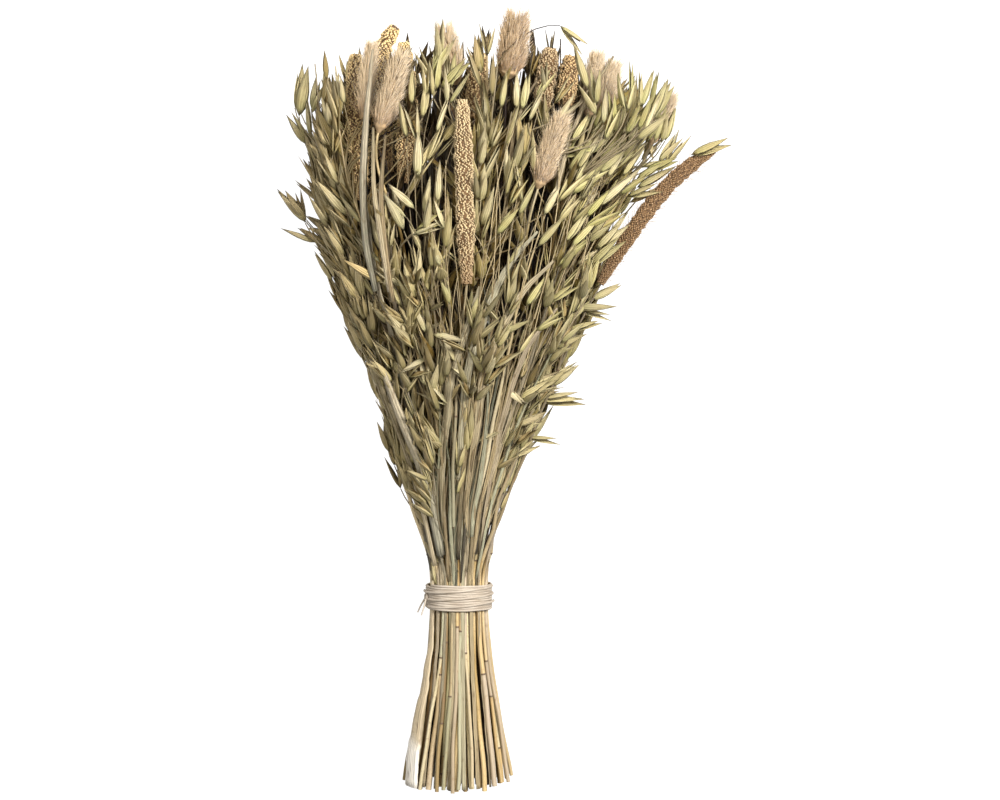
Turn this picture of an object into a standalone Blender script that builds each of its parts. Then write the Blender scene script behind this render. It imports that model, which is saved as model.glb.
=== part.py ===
"""A tied bunch of dried grasses, lying on its side on a flat surface.

Oat stalks, foxtail millet, hare's-tail grass and long dry leaves run through one
binding of paper twine. X runs across the bunch, Y from the cut ends to the heads
and Z up from the surface. The layout is worked out with the middle of the
binding over the origin, and the finished bunch is then moved so that the middle
of its footprint is the origin.
"""

import math

import bmesh
import bpy
import numpy as np
from mathutils import Matrix, Vector

MM = 0.001
SEED = 7
GOLDEN_ANGLE = math.radians(137.508)

# The bunch's outline along its length. Each row holds y, the half-width and the
# half-height of the ring of outermost stalks, and where its middle lies across
# the bunch and above the surface.
SECTIONS = MM * np.array(
    [
        (-124, 32.5, 28.2, -1, 29.4),
        (-11, 16.7, 16.7, 0, 34),
        (11, 16.7, 16.7, 0, 34),
        (60, 26.5, 23.5, 1, 38),
        (110, 41.5, 34, 6, 47.5),
        (165, 63, 48, 10, 61.5),
        (225, 91, 61, 11, 73),
        (285, 110, 67.5, 12, 80),
        (345, 112, 70, 16, 83),
    ]
)
LEVELS = SECTIONS[:, 0]
TIE_LEVELS = (1, 2)
TIE_HEIGHT = SECTIONS[1, 4]

# Places for the stalks inside the binding, in rings from the middle outwards, with
# each ring's size as a share of the outermost.
RING_COUNTS = (4, 10, 15, 21)
RING_SHARES = (0.19, 0.46, 0.73, 1)

# Round stems: full radius up to a little above the binding, then tapering to the
# neck of a head or to the tip of an oat's axis.
STEM_RADIUS = 2.1 * MM
TAIL_STEM_RADIUS = 2.05 * MM
TAPER_START = 20 * MM
NECK_RADIUS = 0.9 * MM
RACHIS_RADIUS = 1.35 * MM
RACHIS_TIP_RADIUS = 0.65 * MM

# How the stalks are moved apart: how far each may stray at first, the gap between
# stems, the room that an oat's husks want, and the samples along the bunch.
WANDER = 2.2 * MM
STEM_GAP = 0.45 * MM
CROWD_RADIUS = 9.5 * MM
HEAD_MARGIN = 1.5 * MM
FLOOR_ROOM = 10 * MM
TIP_STEP = 6 * MM
HEAD_APPROACH = 12 * MM
SAMPLES = MM * np.arange(-112, 376, 11)
SOFT_ROUNDS = 120
HARD_ROUNDS = 160
SOFT_PUSH = 0.12
HARD_PUSH = 0.2
SMOOTHING = 0.12
HOLD = 0.03

MILLET_RADIUS = 6.4 * MM
MILLET_SIDES = 8
GRAIN_PITCH = 7 * MM
GRAIN_DIP = 0.74
TAIL_RADIUS = 9 * MM
TAIL_SIDES = 8
TAIL_RINGS = 8
TUFT_DIP = 0.72
TUFT_LEAN = 0.09
HEAD_CLEARANCE = 1.12

LEAF_THICKNESS = 0.9 * MM
LEAF_ARCH = 0.12
STRAND_SHARE = 0.2
LEAF_TIE_WIDTH = 3.3 * MM
LEAF_OUTSET = MM * np.array((0, 2.9, 2.9))

# How far up the oat stalks of each ring end, from the middle outwards, what share of
# each carries husks, and how many.
OAT_TOPS = (
    (352, 366, 344),
    (358, 350, 368, 340, 362, 346, 354),
    (346, 300, 338, 262, 350, 318),
    (344, 226, 300, 338, 196, 272, 350, 248),
)
HUSKED_SHARES = (0.45, 0.45, 0.55, 0.66)
LOWEST_HUSK = 60 * MM
HUSKS_BY_RING = (6, 7, 11, 12)
HUSK_HALF_WIDTH = 3.1 * MM
HUSK_HALF_THICKNESS = 2.1 * MM
HUSK_LENGTHS = MM * np.array((22, 26))
HUSK_BELLY = 0.38
HUSK_CLEARANCE = 0.35 * MM
HUSK_TRIES = 18
TIP_OVERLAP = 1.2 * MM
PEDICEL_RADIUS = 0.55 * MM
SHORT_PEDICEL = 4 * MM
# Lean in degrees and pedicel in millimetres: the first tries, then the closer ones.
WIDE_REACH = ((16, 34), (4, 22))
CLOSE_REACH = ((10, 20), (2, 7))

BINDING_RADIUS = 20.65 * MM
BINDING_THICKNESS = 1.5 * MM
BINDING_WIDTH = 17.6 * MM
BINDING_TURNS = 6
BINDING_STEPS = 20
TWINE_GROOVE = 0.75 * MM
MERGE_DISTANCE = 0.01 * MM
KNOT_ANGLE = math.radians(160)
KNOT_RADIUS = 2.4 * MM
KNOT_OUTSET = 0.6 * MM
KNOT_END_LENGTH = 13 * MM
KNOT_END_SLANTS = (-0.5, 0.9)

# Heads of millet and hare's tail, each as its kind, the ring that holds its stem in
# the binding, and the x, y and z of its middle line from foot to tip.
HEADS = {
    "millet_front": ("millet", 2, ((7, 201, 128), (6, 256, 143), (5, 308, 153))),
    "millet_right": ("millet", 3, ((91, 204, 84), (119, 239, 88), (147, 274, 90), (163, 289, 92))),
    "millet_left_a": ("millet", 2, ((-59, 255, 100), (-62, 301, 106), (-62, 344, 110))),
    "millet_left_b": ("millet", 1, ((-44, 275, 82), (-50, 332, 89), (-47, 350, 94), (-38, 363, 100))),
    "millet_left_c": ("millet", 2, ((-33, 265, 106), (-30, 309, 112), (-32, 350, 116))),
    "millet_top": ("millet", 1, ((11, 302, 124), (15, 341, 130))),
    "millet_mid_a": ("millet", 2, ((52, 304, 124), (58, 343, 132))),
    "millet_mid_b": ("millet", 2, ((67, 310, 110), (71, 342, 115))),
    "millet_under_a": ("millet", 3, ((-30, 246, 24), (-37, 286, 20), (-42, 326, 19))),
    "millet_under_b": ("millet", 3, ((55, 238, 24), (64, 280, 21), (72, 318, 22))),
    "tail_right_c": ("tail", 3, ((121, 289, 105), (127, 304, 108), (133, 319, 110))),
    "tail_top": ("tail", 2, ((32, 326, 124), (35, 345, 128), (38, 364, 132))),
    "tail_mid": ("tail", 3, ((50, 257, 140), (57, 278, 146), (64, 298, 150))),
    "tail_left_b": ("tail", 2, ((-46, 291, 138), (-38, 314, 143), (-32, 336, 146))),
    "tail_left_a": ("tail", 1, ((-56, 300, 122), (-54, 323, 126), (-51, 345, 129))),
    "tail_top_left": ("tail", 0, ((0, 327, 100), (-4, 345, 104), (-8, 362, 107))),
    "tail_right_a": ("tail", 2, ((83, 308, 88), (86, 328, 92), (88, 347, 95))),
    "tail_right_b": ("tail", 3, ((88, 304, 122), (92, 319, 125), (96, 334, 128))),
    "tail_under": ("tail", 2, ((10, 285, 22), (11, 305, 20), (12, 325, 19))),
}

# Long leaves over the front of the bunch: place round the binding in degrees,
# full width, lift above the outer stalks, and the x and y that each follows.
FRONT_LEAVES = {
    "leaf_left": (
        (115.7, 7.2, 4.6),
        ((-13.5, 40), (-17, 82), (-24, 109), (-32, 134), (-40, 169), (-48, 200), (-53, 235), (-55, 266)),
    ),
    "leaf_mauve": (
        (132.9, 4.5, -0.6),
        ((-20, 65), (-27, 105), (-32, 140), (-36, 172), (-40, 213), (-41, 237), (-41, 256)),
    ),
    "leaf_centre": (
        (98.6, 5.5, 3.4),
        ((-9.5, 52), (-9, 98), (-6, 121), (-3, 145), (6, 171), (15, 199)),
    ),
    "leaf_sweep": (
        (81.4, 5, 3.4),
        ((1.5, 65), (4, 120), (9, 155), (19, 183), (33, 212), (50, 232)),
    ),
    "leaf_right": (
        (64.3, 5, 3.4),
        ((6, 69), (13, 113), (18, 148), (29, 175), (43, 198), (60, 215)),
    ),
    "leaf_patch": (
        (47.1, 8, 3.4),
        ((21, 78), (31, 124), (46, 165), (63, 187)),
    ),
}

# Leaves that the bunch lies on, flat on the surface under the heads: place round the
# binding in degrees, full width, and the x, y and z that each follows.
FLOOR_LEAF_START = 90 * MM
FLOOR_LEAVES = {
    "leaf_under_left": (
        (-107.1, 8),
        (
            (-13, 50, 8),
            (-18, 95, 3.2),
            (-26, 130, 0.45),
            (-38, 175, 0.45),
            (-50, 220, 0.45),
            (-58, 262, 0.45),
        ),
    ),
    "leaf_under_right": (
        (-72.9, 8),
        (
            (13, 50, 8),
            (20, 95, 3.2),
            (30, 130, 0.45),
            (46, 175, 0.45),
            (62, 220, 0.45),
            (74, 262, 0.45),
        ),
    ),
}

# The torn pale sheath at the cut ends.
SHEATH_NAME = "pale_sheath"
SHEATH_ANGLE = 150
SHEATH_WIDTHS = MM * np.array((10.5, 3.3, 3.3))
SHEATH_OUTSET = MM * np.array((4.2, 2.9, 2.9))

COLOURS = {
    "oat": (0.46, 0.42, 0.22),
    "millet": (0.62, 0.46, 0.24),
    "tail": (0.63, 0.49, 0.38),
    "leaf": (0.47, 0.44, 0.34),
    "sheath": (0.78, 0.72, 0.60),
    "binding": (0.74, 0.64, 0.50),
}


class Stalk:
    """One stalk or leaf, from its cut end to its tip, with the head that it carries."""

    def __init__(self, name, kind, ring, theta):
        self.name = name
        self.kind = kind
        self.ring = ring
        self.rho = RING_SHARES[ring]
        self.theta = theta
        self.head = None
        self.husks = 0
        self.end = 0.0
        self.foot = 0.0
        self.line = None
        self.radii = None
        self.widths = None

    def is_leaf(self):
        return self.kind in ("leaf", "sheath")


# Layout


def section(y):
    """Half-width, half-height, middle x and middle z of the bunch's outline at y."""
    return [np.interp(y, LEVELS, SECTIONS[:, column]) for column in (1, 2, 3, 4)]


def point_in_bunch(y, rho, theta):
    """The x and z at y of the place that lies rho of the way out at angle theta."""
    half_width, half_height, middle_x, middle_z = section(y)
    return np.array(
        (
            middle_x + half_width * rho * math.cos(theta),
            middle_z + half_height * rho * math.sin(theta),
        )
    )


def ring_places():
    """The stalks' places in the binding, as (ring, theta) pairs."""
    places = []
    for ring, count in enumerate(RING_COUNTS):
        for step in range(count):
            phase = 0.5 * ((ring + 1) % 2)
            places.append((ring, math.radians(90) + 2 * math.pi * (step + phase) / count))
    return places


def take_nearest(free, ring, theta):
    """Takes from free the place nearest to angle theta on a ring of the binding."""
    wanted = RING_SHARES[ring] * np.array((math.cos(theta), math.sin(theta)))

    def distance(place):
        at = RING_SHARES[place[0]] * np.array((math.cos(place[1]), math.sin(place[1])))
        return float(np.hypot(*(at - wanted)))

    best = min(free, key=distance)
    free.remove(best)
    return best


def place_stalks():
    """Every stalk and leaf with its place in the binding."""
    free = ring_places()
    stalks = []
    outermost = len(RING_COUNTS) - 1
    leaf_angles = {name: facts[0][0] for name, facts in {**FRONT_LEAVES, **FLOOR_LEAVES}.items()}
    leaf_angles[SHEATH_NAME] = SHEATH_ANGLE
    for name, degrees in leaf_angles.items():
        kind = "sheath" if name == SHEATH_NAME else "leaf"
        stalks.append(Stalk(name, kind, outermost, math.radians(degrees)))
    for name, (kind, ring, points) in HEADS.items():
        head = MM * np.array(points)
        half_width, half_height, middle_x, middle_z = section(head[0, 1])
        across = (head[0, 0] - middle_x) / half_width
        up = (head[0, 2] - middle_z) / half_height
        stalk = Stalk(name, kind, *take_nearest(free, ring, math.atan2(up, across)))
        stalk.head = head
        stalk.foot = head[0, 1]
        stalk.end = head[-1, 1]
        stalks.append(stalk)
    turns = {}
    for number, (ring, theta) in enumerate(sorted(free), start=1):
        stalk = Stalk(f"oat_{number:02d}", "oat", ring, theta)
        turn = turns[ring] = turns.get(ring, -1) + 1
        tops = OAT_TOPS[ring]
        stalk.end = MM * tops[turn % len(tops)]
        stalk.husks = HUSKS_BY_RING[ring]
        stalk.foot = max(LOWEST_HUSK, (1 - HUSKED_SHARES[ring]) * stalk.end)
        stalks.append(stalk)
    return stalks


def front_leaf_line(facts):
    """The points that a front leaf follows above the binding."""
    (_, _, lift), way = facts
    points = []
    for x, y in MM * np.array(way):
        half_width, half_height, middle_x, middle_z = section(y)
        rise = math.sqrt(max(0.05, 1 - ((x - middle_x) / half_width) ** 2))
        points.append((x, y, middle_z + half_height * rise + MM * lift))
    return np.array(points)


def leaf_way(name):
    """The points of a leaf above the binding, or none for the sheath."""
    if name in FRONT_LEAVES:
        return front_leaf_line(FRONT_LEAVES[name])
    if name in FLOOR_LEAVES:
        return MM * np.array(FLOOR_LEAVES[name][1])
    return np.zeros((0, 3))


def first_crossings(stalks):
    """Where each stalk crosses each level before the stalks are moved apart."""
    random = np.random.default_rng(SEED)
    at = np.zeros((len(stalks), len(LEVELS), 2))
    for i, stalk in enumerate(stalks):
        wander = random.normal(0, 1, (len(LEVELS), 2)) * WANDER
        wander[list(TIE_LEVELS)] = 0
        wander[0] *= 0.3
        if stalk.is_leaf():
            wander[:] = 0
        for level, y in enumerate(LEVELS):
            at[i, level] = point_in_bunch(y, stalk.rho, stalk.theta) + wander[level]
            if stalk.head is not None:
                start = LEVELS[TIE_LEVELS[1]]
                rise = np.clip((y - start) / (stalk.foot - start), 0, 1)
                foot = point_in_bunch(stalk.foot, stalk.rho, stalk.theta)
                at[i, level] += (stalk.head[0][[0, 2]] - foot) * rise * rise * (3 - 2 * rise)
    return at


def along_line(line, y):
    """The x and z at y of a line."""
    return np.array((np.interp(y, line[:, 1], line[:, 0]), np.interp(y, line[:, 1], line[:, 2])))


def round_rod(stalk):
    """How a round stalk passes each sample: its levels' weights, its fixed part and its room."""
    weights = np.zeros((len(SAMPLES), len(LEVELS)))
    fixed = np.zeros((len(SAMPLES), 2))
    crowd = np.zeros(len(SAMPLES))
    solid = np.zeros(len(SAMPLES))
    below = len(LEVELS) if stalk.head is None else int(np.sum(LEVELS < stalk.foot - HEAD_APPROACH))
    last = below - 1
    for s, y in enumerate(SAMPLES):
        if y <= LEVELS[last]:
            k = int(np.clip(np.searchsorted(LEVELS, y) - 1, 0, last - 1))
            share = (y - LEVELS[k]) / (LEVELS[k + 1] - LEVELS[k])
            weights[s, k] = 1 - share
            weights[s, k + 1] = share
        elif stalk.head is None:
            weights[s, last] = 1
        elif y < stalk.foot:
            share = (y - LEVELS[last]) / (stalk.foot - LEVELS[last])
            weights[s, last] = 1 - share
            fixed[s] = share * stalk.head[0][[0, 2]]
        else:
            fixed[s] = along_line(stalk.head, y)
        solid[s] = stem_radius(stalk, y) + STEM_GAP / 2
        crowd[s] = solid[s]
        if stalk.head is not None and y > stalk.foot - HEAD_APPROACH:
            solid[s] = MILLET_RADIUS if stalk.kind == "millet" else TAIL_RADIUS
            crowd[s] = solid[s] + HEAD_MARGIN
        elif stalk.head is None and y > stalk.foot:
            crowd[s] = CROWD_RADIUS
        if y > stalk.end + HEAD_APPROACH:
            crowd[s] = solid[s] = 0
    return weights, fixed, crowd, solid


def leaf_strands(stalk):
    """A leaf as three round strands side by side: their lines."""
    across, _ = leaf_sides(stalk)
    return [stalk.line + across * (share * stalk.widths)[:, None] for share in (-0.34, 0, 0.34)]


def leaf_rods(stalk):
    """The same for a leaf, which stays put, as three rods side by side."""
    for line in leaf_strands(stalk):
        fixed = np.array([along_line(line, y) for y in SAMPLES])
        solid = np.interp(SAMPLES, stalk.line[:, 1], STRAND_SHARE * stalk.widths) + STEM_GAP / 2
        solid[SAMPLES > stalk.line[-1, 1] + HEAD_APPROACH] = 0
        yield np.zeros((len(SAMPLES), len(LEVELS))), fixed, solid, solid


def make_room(stalks, at):
    """Pushes the stalks apart along their length until none needs another's room."""
    rods = [round_rod(s) for s in stalks if not s.is_leaf()]
    movable = [i for i, s in enumerate(stalks) if not s.is_leaf()]
    for stalk in stalks:
        if stalk.is_leaf():
            rods.extend(leaf_rods(stalk))
    weights, fixed, crowd, solid = (np.array(facts) for facts in zip(*rods))
    count = len(movable)
    weights = weights[:count]
    target = at[movable].copy()
    loose = np.ones(len(LEVELS), bool)
    loose[list(TIE_LEVELS)] = False
    low = np.full((count, len(LEVELS)), STEM_RADIUS)
    for i, k in enumerate(movable):
        if stalks[k].kind == "oat":
            low[i, LEVELS > LOWEST_HUSK] = FLOOR_ROOM
    now = target.copy()
    for turn in range(SOFT_ROUNDS + HARD_ROUNDS):
        soft = turn < SOFT_ROUNDS
        room = crowd if soft else solid
        places = fixed.copy()
        places[:count] += np.einsum("isl,ilx->isx", weights, now)
        away = places[:count, None] - places[None]
        distance = np.linalg.norm(away, axis=3) + 1e-9
        wanted = (room[:count, None] + room[None]) * (room[:count, None] > 0) * (room[None] > 0)
        overlap = np.clip(wanted - distance, 0, None)
        overlap[np.arange(count), np.arange(count)] = 0
        push = (away / distance[..., None] * overlap[..., None]).sum(axis=1)
        force = np.einsum("isl,isx->ilx", weights, push)
        now[:, loose] += (SOFT_PUSH if soft else HARD_PUSH) * force[:, loose]
        if soft:
            middle = (now[:, :-2] + now[:, 2:]) / 2
            inner = loose[1:-1]
            now[:, 1:-1][:, inner] += SMOOTHING * (middle - now[:, 1:-1])[:, inner]
            now[:, loose] += HOLD * (target - now)[:, loose]
        now[:, :, 1] = np.maximum(now[:, :, 1], low)
    at[movable] = now


def stem_radius(stalk, y):
    """How thick a round stem is at y."""
    base = TAIL_STEM_RADIUS if stalk.kind == "tail" else STEM_RADIUS
    neck = RACHIS_RADIUS if stalk.kind == "oat" else NECK_RADIUS
    if y <= stalk.foot:
        return float(np.interp(y, (TAPER_START, stalk.foot), (base, neck)))
    if stalk.kind == "oat":
        return float(np.interp(y, (stalk.foot, stalk.end), (neck, RACHIS_TIP_RADIUS)))
    return neck


def trace_round(stalk, at):
    """The line and radii of a round stem, up to its tip or into its head."""
    points = [np.array((x, y, z)) for (x, z), y in zip(at, LEVELS)]
    if stalk.kind == "oat":
        line = [p for p in points if p[1] < stalk.end - TIP_STEP]
        x, z = (np.interp(stalk.end, LEVELS, at[:, column]) for column in (0, 1))
        line.append(np.array((x, stalk.end, z)))
    else:
        line = [p for p in points if p[1] < stalk.foot - HEAD_APPROACH]
        line.append(stalk.head[0])
        line.append(stalk.head[0] + 0.5 * (stalk.head[1] - stalk.head[0]))
    stalk.line = np.array(line)
    stalk.radii = np.array([stem_radius(stalk, p[1]) for p in line])


def trace_leaf(stalk, at):
    """The line and widths of a leaf, which lies outermost in the binding."""
    outward = np.array((math.cos(stalk.theta), math.sin(stalk.theta)))
    outset = SHEATH_OUTSET if stalk.kind == "sheath" else LEAF_OUTSET
    line = [
        np.array((at[k, 0] + outward[0] * outset[k], LEVELS[k], at[k, 1] + outward[1] * outset[k]))
        for k in range(len(outset))
    ]
    if stalk.kind == "sheath":
        stalk.line = np.array(line)
        stalk.widths = SHEATH_WIDTHS
        return
    line.extend(leaf_way(stalk.name))
    full = MM * {**FRONT_LEAVES, **FLOOR_LEAVES}[stalk.name][0][1]
    held = len(LEAF_OUTSET)
    widths = [LEAF_TIE_WIDTH] * held + [full] * (len(line) - held)
    widths[held] = 0.8 * full
    widths[-2] = 0.8 * full
    widths[-1] = 0.3 * full
    stalk.line = np.array(line)
    stalk.widths = np.array(widths)


def lay_out():
    """All stalks and leaves of the bunch, traced so that none crosses another."""
    stalks = place_stalks()
    at = first_crossings(stalks)
    for stalk, crossings in zip(stalks, at):
        if stalk.is_leaf():
            trace_leaf(stalk, crossings)
    make_room(stalks, at)
    for stalk, crossings in zip(stalks, at):
        if not stalk.is_leaf():
            trace_round(stalk, crossings)
    return stalks


def leaf_sides(stalk):
    """Unit vectors across and out of a leaf at each of its points."""
    ahead = np.gradient(stalk.line, axis=0)
    ahead /= np.linalg.norm(ahead, axis=1)[:, None]
    across = []
    for point, along in zip(stalk.line, ahead):
        _, _, middle_x, middle_z = section(point[1])
        out = np.array((point[0] - middle_x, 0, point[2] - middle_z))
        if stalk.name in FLOOR_LEAVES and point[1] > FLOOR_LEAF_START:
            out = np.array((0.0, 0.0, -1.0))
        side = np.cross(out, along)
        across.append(side / np.linalg.norm(side))
    across = np.array(across)
    return across, np.cross(ahead, across)


# Husks


class Obstacles:
    """What a husk has to stay clear of: rods with a radius, and the husks already placed."""

    def __init__(self, stalks):
        starts, ends, radii, owners = [], [], [], []

        def add(line, sizes, owner):
            for k in range(len(line) - 1):
                starts.append(line[k])
                ends.append(line[k + 1])
                radii.append(max(sizes[k], sizes[k + 1]))
                owners.append(owner)

        for owner, stalk in enumerate(stalks):
            if stalk.is_leaf():
                for line in leaf_strands(stalk):
                    add(line, STRAND_SHARE * stalk.widths, owner)
                continue
            add(stalk.line, stalk.radii, owner)
            if stalk.head is not None:
                radius = MILLET_RADIUS if stalk.kind == "millet" else TAIL_RADIUS
                add(stalk.head, [radius * HEAD_CLEARANCE] * len(stalk.head), owner)
        self.starts = np.array(starts)
        self.ends = np.array(ends)
        self.radii = np.array(radii)
        self.owners = np.array(owners)
        self.spots = np.zeros((0, 3))
        self.spot_radii = np.zeros(0)

    def gap_to_rods(self, points, sizes, chosen):
        """The smallest gap between balls at the points and the chosen rods."""
        along = self.ends[chosen] - self.starts[chosen]
        to = points[:, None] - self.starts[chosen][None]
        share = np.clip((to * along).sum(2) / (along * along).sum(1), 0, 1)
        nearest = np.linalg.norm(to - share[:, :, None] * along, axis=2)
        return float((nearest - self.radii[chosen] - sizes[:, None]).min())

    def room_round(self, points, sizes, owner):
        """The smallest gap between a husk and the floor, the other stalks and all husks.

        The outer half of the husk also has to clear the stalk that it grows from.
        """
        own = self.owners == owner
        outer = len(points) // 2
        gap = min(
            float((points[:, 2] - sizes).min()),
            self.gap_to_rods(points, sizes, ~own),
            self.gap_to_rods(points[outer:], sizes[outer:], own),
        )
        if len(self.spots):
            apart = np.linalg.norm(points[:, None] - self.spots[None], axis=2)
            gap = min(gap, float((apart - self.spot_radii - sizes[:, None]).min()))
        return gap

    def add_husk(self, points, sizes):
        self.spots = np.vstack((self.spots, points))
        self.spot_radii = np.append(self.spot_radii, sizes)


class Husk:
    """One oat spikelet: where it roots, which way it points and how long its two parts are."""

    def __init__(self, root, ahead, flat, pedicel, length):
        self.root = root
        self.ahead = ahead
        self.flat = flat
        self.pedicel = pedicel
        self.length = length

    def samples(self):
        """Points along the husk with the radius of a ball round each."""
        shares = np.array((0.02, 0.14, 0.27, 0.40, 0.54, 0.68, 0.82, 0.97))
        sizes = HUSK_HALF_WIDTH * np.array((0.4, 0.72, 0.95, 1.0, 0.85, 0.6, 0.34, 0.06))
        reach = self.pedicel + shares * self.length
        if self.pedicel > SHORT_PEDICEL:
            reach = np.append(0.55 * self.pedicel, reach)
            sizes = np.append(PEDICEL_RADIUS, sizes)
        return self.root + reach[:, None] * self.ahead, sizes


def unit(vector):
    return vector / np.linalg.norm(vector)


def point_on(line, y):
    """The point at y on a line, and the direction it runs in there."""
    k = int(np.clip(np.searchsorted(line[:, 1], y) - 1, 0, len(line) - 2))
    share = (y - line[k, 1]) / (line[k + 1, 1] - line[k, 1])
    return line[k] + share * (line[k + 1] - line[k]), unit(line[k + 1] - line[k])


def husk_on(stalk, y, azimuth, lean, pedicel, length):
    """A husk that grows from a stalk at y, turned by azimuth and leaning out by lean."""
    root, along = point_on(stalk.line, y)
    side = unit(np.cross(along, (0.3, 0.1, 1.0)))
    other = np.cross(along, side)
    out = math.cos(azimuth) * side + math.sin(azimuth) * other
    ahead = math.cos(lean) * along + math.sin(lean) * out
    return Husk(root, ahead, unit(np.cross(along, ahead)), pedicel, length)


def grow_husks(stalks):
    """The husks of every oat stalk, each placed where it clears the other stalks."""
    obstacles = Obstacles(stalks)
    husks = {stalk.name: [] for stalk in stalks if stalk.kind == "oat"}
    for turn in range(max(HUSKS_BY_RING)):
        for owner, stalk in enumerate(stalks):
            if turn >= stalk.husks:
                continue
            random = np.random.default_rng((SEED, owner, turn))
            length = random.uniform(*HUSK_LENGTHS)
            tries = []
            if turn == 0:
                along = unit(stalk.line[-1] - stalk.line[-2])
                root = stalk.line[-1] - TIP_OVERLAP * along
                tries.append(Husk(root, along, unit(np.cross(along, (1, 0, 0.4))), 0.0, length))
            share = 1 - turn / (stalk.husks - 1)
            y = stalk.foot + (stalk.end - stalk.foot - 8 * MM) * share
            for attempt in range(HUSK_TRIES if turn > 0 else 0):
                leans, pedicels = WIDE_REACH if attempt < HUSK_TRIES / 2 else CLOSE_REACH
                lean = math.radians(random.uniform(*leans))
                pedicel = MM * random.uniform(*pedicels)
                azimuth = turn * GOLDEN_ANGLE + owner + 0.8 * attempt
                tries.append(husk_on(stalk, y, azimuth, lean, pedicel, length))
            for husk in tries:
                points, sizes = husk.samples()
                if obstacles.room_round(points, sizes, owner) > HUSK_CLEARANCE:
                    obstacles.add_husk(points, sizes)
                    husks[stalk.name].append(husk)
                    break
    return husks


# Solids


def clear_scene():
    for obj in list(bpy.data.objects):
        bpy.data.objects.remove(obj, do_unlink=True)


def material(kind):
    """The plain finish of one kind of piece."""
    made = bpy.data.materials.get(kind) or bpy.data.materials.new(kind)
    made.use_nodes = True
    shader = made.node_tree.nodes["Principled BSDF"]
    shader.inputs["Base Color"].default_value = (*COLOURS[kind], 1)
    shader.inputs["Roughness"].default_value = 0.85
    shader.inputs["Metallic"].default_value = 0.0
    return made


def add_object(name, mesh, kind, collection):
    obj = bpy.data.objects.new(name, mesh)
    mesh.materials.clear()
    mesh.materials.append(material(kind))
    collection.objects.link(obj)
    return obj


def evaluated_mesh(obj):
    """A plain copy of the object's mesh with its modifiers applied."""
    graph = bpy.context.evaluated_depsgraph_get()
    return bpy.data.meshes.new_from_object(obj.evaluated_get(graph))


def stem(stalk, collection):
    """A round stem as a solid mesh, made from a bevelled curve."""
    curve = bpy.data.curves.new(stalk.name + "_line", "CURVE")
    curve.dimensions = "3D"
    curve.bevel_depth = 1.0
    curve.bevel_resolution = 1
    curve.use_fill_caps = True
    curve.twist_mode = "Z_UP"
    spline = curve.splines.new("POLY")
    spline.points.add(len(stalk.line) - 1)
    for knot, place, radius in zip(spline.points, stalk.line, stalk.radii):
        knot.co = (*place, 1)
        knot.radius = radius
    guide = bpy.data.objects.new(stalk.name + "_guide", curve)
    collection.objects.link(guide)
    mesh = evaluated_mesh(guide)
    bpy.data.objects.remove(guide)
    cage = bmesh.new()
    cage.from_mesh(mesh)
    bmesh.ops.remove_doubles(cage, verts=cage.verts, dist=MERGE_DISTANCE)
    cage.to_mesh(mesh)
    cage.free()
    return add_object(stalk.name, mesh, stalk.kind, collection)


def shaped_ball(name, sides, rings, place):
    """A ball's mesh whose every vertex is moved by place(angle, ring), foot to tip."""
    cage = bmesh.new()
    bmesh.ops.create_uvsphere(cage, u_segments=sides, v_segments=rings, radius=1)
    for vertex in cage.verts:
        ring = round((1 - math.acos(max(-1, min(1, vertex.co.z))) / math.pi) * rings)
        vertex.co = place(math.atan2(vertex.co.y, vertex.co.x), ring)
    mesh = bpy.data.meshes.new(name)
    cage.to_mesh(mesh)
    cage.free()
    return mesh


def husk_mesh(name, husk):
    """An oat husk as a slim spindle on its pedicel."""
    thick = np.cross(husk.ahead, husk.flat)
    belly = husk.pedicel + HUSK_BELLY * husk.length
    tip = husk.pedicel + husk.length
    if husk.pedicel > SHORT_PEDICEL:
        reach = (-1.2 * MM, -0.2 * MM, husk.pedicel, belly, tip)
        widths = (0, PEDICEL_RADIUS, PEDICEL_RADIUS, HUSK_HALF_WIDTH, 0)
        depths = (0, PEDICEL_RADIUS, PEDICEL_RADIUS, HUSK_HALF_THICKNESS, 0)
    else:
        reach = (-0.6 * MM, 1.5 * MM, belly, tip)
        widths = (0, 0.9 * MM, HUSK_HALF_WIDTH, 0)
        depths = (0, 0.9 * MM, HUSK_HALF_THICKNESS, 0)

    def place(angle, ring):
        middle = husk.root + reach[ring] * husk.ahead
        sideways = widths[ring] * math.cos(angle) * husk.flat
        return Vector(middle + sideways + depths[ring] * math.sin(angle) * thick)

    return shaped_ball(name, 3, len(reach) - 1, place)


def along_head(head, share):
    """A point on a head's middle line, and two directions across it."""
    steps = np.linalg.norm(np.diff(head, axis=0), axis=1)
    lengths = np.append(0, np.cumsum(steps)) / steps.sum()
    point = np.array([np.interp(share, lengths, head[:, axis]) for axis in range(3)])
    early, late = (
        np.array([np.interp(np.clip(share + step, 0, 1), lengths, head[:, axis]) for axis in range(3)])
        for step in (-0.12, 0.12)
    )
    along = unit(late - early)
    side = unit(np.cross(along, (0.2, 0.1, 1.0)))
    return point, along, side, np.cross(along, side)


def millet_mesh(name, head):
    """A spike of millet: a long body covered in rows of swollen grains."""
    length = np.linalg.norm(np.diff(head, axis=0), axis=1).sum()
    sides, rings = MILLET_SIDES, round(length / GRAIN_PITCH)

    def place(angle, ring):
        share = ring / rings
        point, _, side, other = along_head(head, share)
        full = MILLET_RADIUS * min(1, 0.62 + 1.6 * share) * (1 - 0.72 * share**5)
        step = round(angle / (2 * math.pi) * sides)
        swell = 1.0 if (step + ring) % 2 else GRAIN_DIP
        radius = 0 if ring in (0, rings) else full * swell
        return Vector(point + radius * (math.cos(angle) * side + math.sin(angle) * other))

    return shaped_ball(name, sides, rings, place)


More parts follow.
